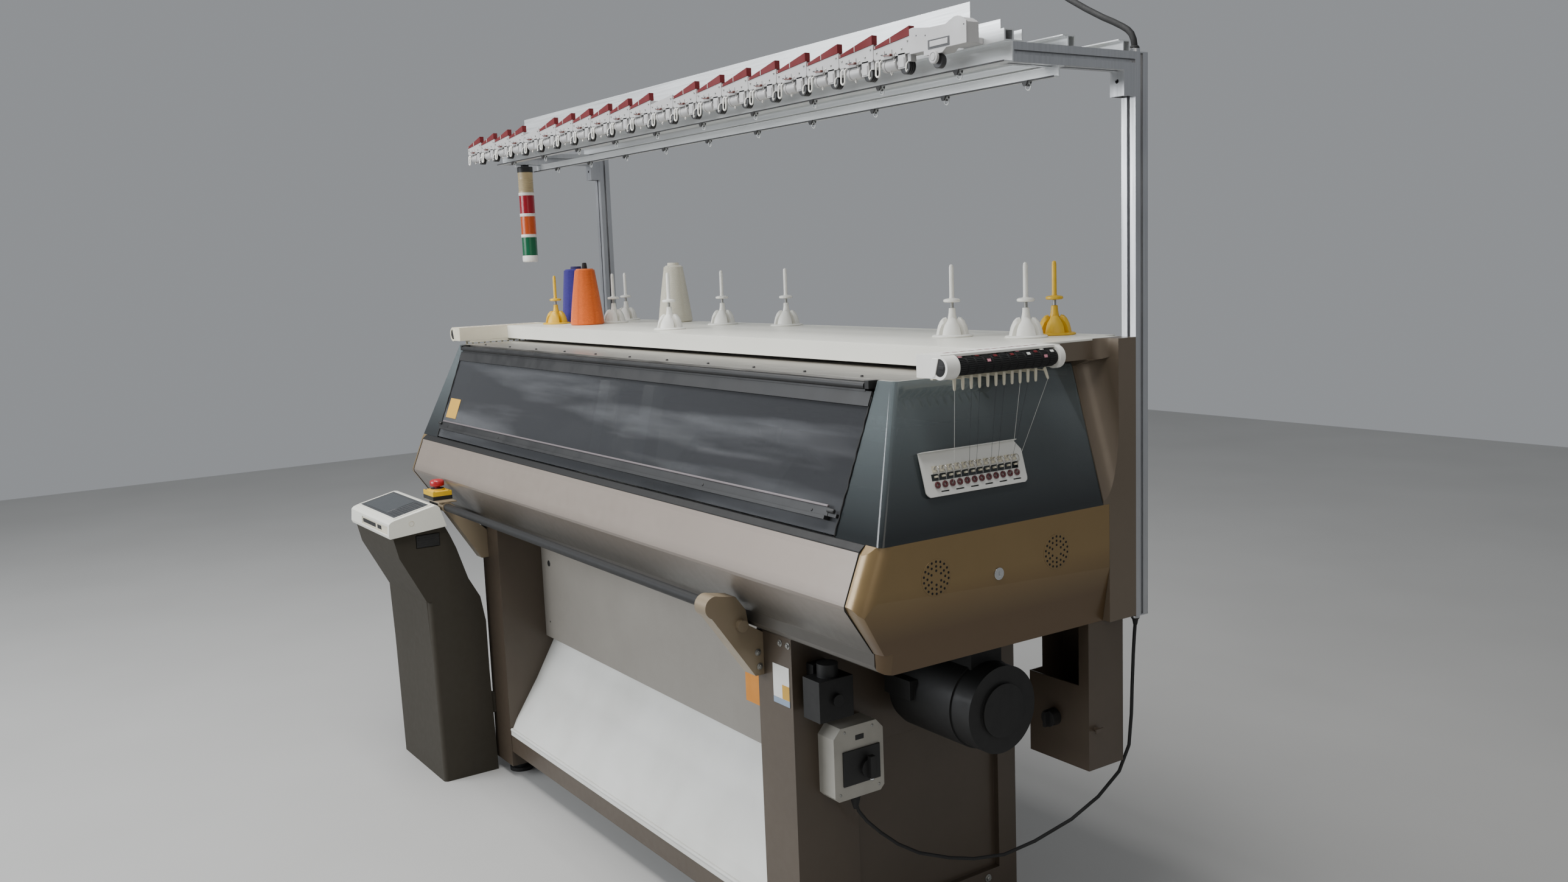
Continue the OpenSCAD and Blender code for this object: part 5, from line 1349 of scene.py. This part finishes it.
# %% Base, collar and button of the stop, and the ring on the head
STOP_X, STOP_D = -952, -26
base = Form().block(-998.7, -905.3, -58.7, 6.7, 948.8, 962).block(-990, -914, -43, 2, 915, 944.8)
for x in (-990, -914):
    for d in (-51, -1):
        base.turned((x, d, 976.6), (0, 0, 1), [(3.4, 0), (3.4, 0.9), (2.2, 1.5)], 12)
make(base, "stop_base_and_screws", black_plastic, bevel=1.5)
collar_section = [(10.5, 0), (21, 0.3), (22, 1.0), (21, 2.0), (10.5, 2.4)]
collar = Form().turned((STOP_X, STOP_D, 981.8), (0, 0, 1), collar_section, 32, ring=True)
make(collar, "stop_collar", black_plastic)
mushroom = [(12, 0), (19, 0.2), (22.6, 1.8), (23.4, 6), (23, 16), (19.4, 20.4), (11, 22.6), (4, 23)]
cap = Form().turned((STOP_X, STOP_D, 990), (0, 0, 1), mushroom, 36)
cap.turned((STOP_X, STOP_D, 967.5), (0, 0, 1), [(8.8, 0), (8.8, 24)], 24)
button = make(cap, "stop_button", safety_red, "estop_button", smooth=50)
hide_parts("estop_button")
stud_section = [(7.2, 0), (8.8, 0.6), (8.8, 1.0), (7.2, 1.3)]
stud = Form().turned((-865.4, -150, 893), (1, 0, 0), stud_section, 28, ring=True)
make(stud, "head_side_ring", cream_plastic)
print("the stop stands at", (STOP_X, STOP_D))

# %% [markdown]
# ## Isolator and glands
#
# The grey isolator box has a black plate with the lever on it, and a gland where its lead comes
# out. The same lead ends in a second gland at the foot of the right post. A third ring seals the
# supply cable at the top of that post.

# %% Isolator plate, glands and screws
plate = Form().block(971.2, 975.4, 188, 293, 502, 584)
plate.block(970.6, 972, 226, 250, 604, 616)
make(plate, "isolator_plate", black_plastic, bevel=1.2)
tip = Form().turned((990, 256, 519), (0, 0, -1), [(4.6, 0), (5.4, 1), (5.4, 9), (3.8, 11), (2, 11.4)], 20)
make(tip, "lever_tip", lock_chrome, "switch_lever")
box_gland = [(10.4, 0), (13, 0.6), (13, 9), (11, 10), (11, 15), (7.4, 30), (5, 38), (4.5, 38.4)]
post_gland = [(9, 0), (10, 0.6), (10, 8), (7, 12), (4.7, 24), (4.4, 24.4)]
top_gland = [(7.1, 0), (11, 0.4), (11, 3), (9, 6), (7.1, 6.4)]
gland = Form().turned((951, 236, 471), (0, 0, -1), box_gland, 24)
gland.turned((POST_X, POST_D, 852), (0, 0, -1), post_gland, 24)
gland.turned((POST_X, POST_D, RAIL_TOP + 9.2), (0, 0, 1), top_gland, 28, ring=True)
make(gland, "lead_glands", black_rubber)
screws = Form()
for d, z in ((180, 484), (291, 484), (196, 628), (275, 628)):
    screws.turned((970.8, d, z), (1, 0, 0), [(3.6, 0), (3.6, 0.8), (2.6, 1.5)], 12)
make(screws, "isolator_screws", screw_zinc)
print("isolator done")

# %% [markdown]
# ## Clips of the thread rails
#
# The thread rails overhead carry bent wire eyelets, each in a small dark clip. A thin dark strip
# along the foot of each rail gives the shadow gap that shows there.

# %% Rail clips and the dark strips
RAIL_FOOT = RAIL_TOP - 40
CLIPS, CLIP_INSET = 10, 140
CLIP_OUTLINE = [(-9, 1.5), (9, 1.5), (3.4, -9), (-3.4, -9)]
clip = Form().plate(CLIP_OUTLINE, "d", 400, 404).plate(CLIP_OUTLINE, "d", 412, 415)
front_clips = clip.moved(Matrix.Translation((-HALF + CLIP_INSET, 0, RAIL_FOOT)))
rear_clips = clip.moved(Matrix.Translation((-HALF + CLIP_INSET + 60, 138, RAIL_FOOT - 24)))
step = (2 * (HALF - CLIP_INSET) / (CLIPS - 1), 0, 0)
repeat(front_clips, "front_rail_clips", dark_grey_plastic, step=step, count=CLIPS)
repeat(rear_clips, "rear_rail_clips", dark_grey_plastic, step=step, count=CLIPS)
gap = Form().block(-HALF + 0.5, HALF - 0.5, 403, 404.4, RAIL_FOOT - 0.3, RAIL_FOOT + 2.9)
gap.block(-HALF + 0.5, HALF - 0.5, 543, 544.4, RAIL_FOOT - 24.3, RAIL_FOOT - 21)
make(gap, "rail_edge_strips", dark_grey_plastic, bevel=0.2)
print("rail clips:", 2 * CLIPS)
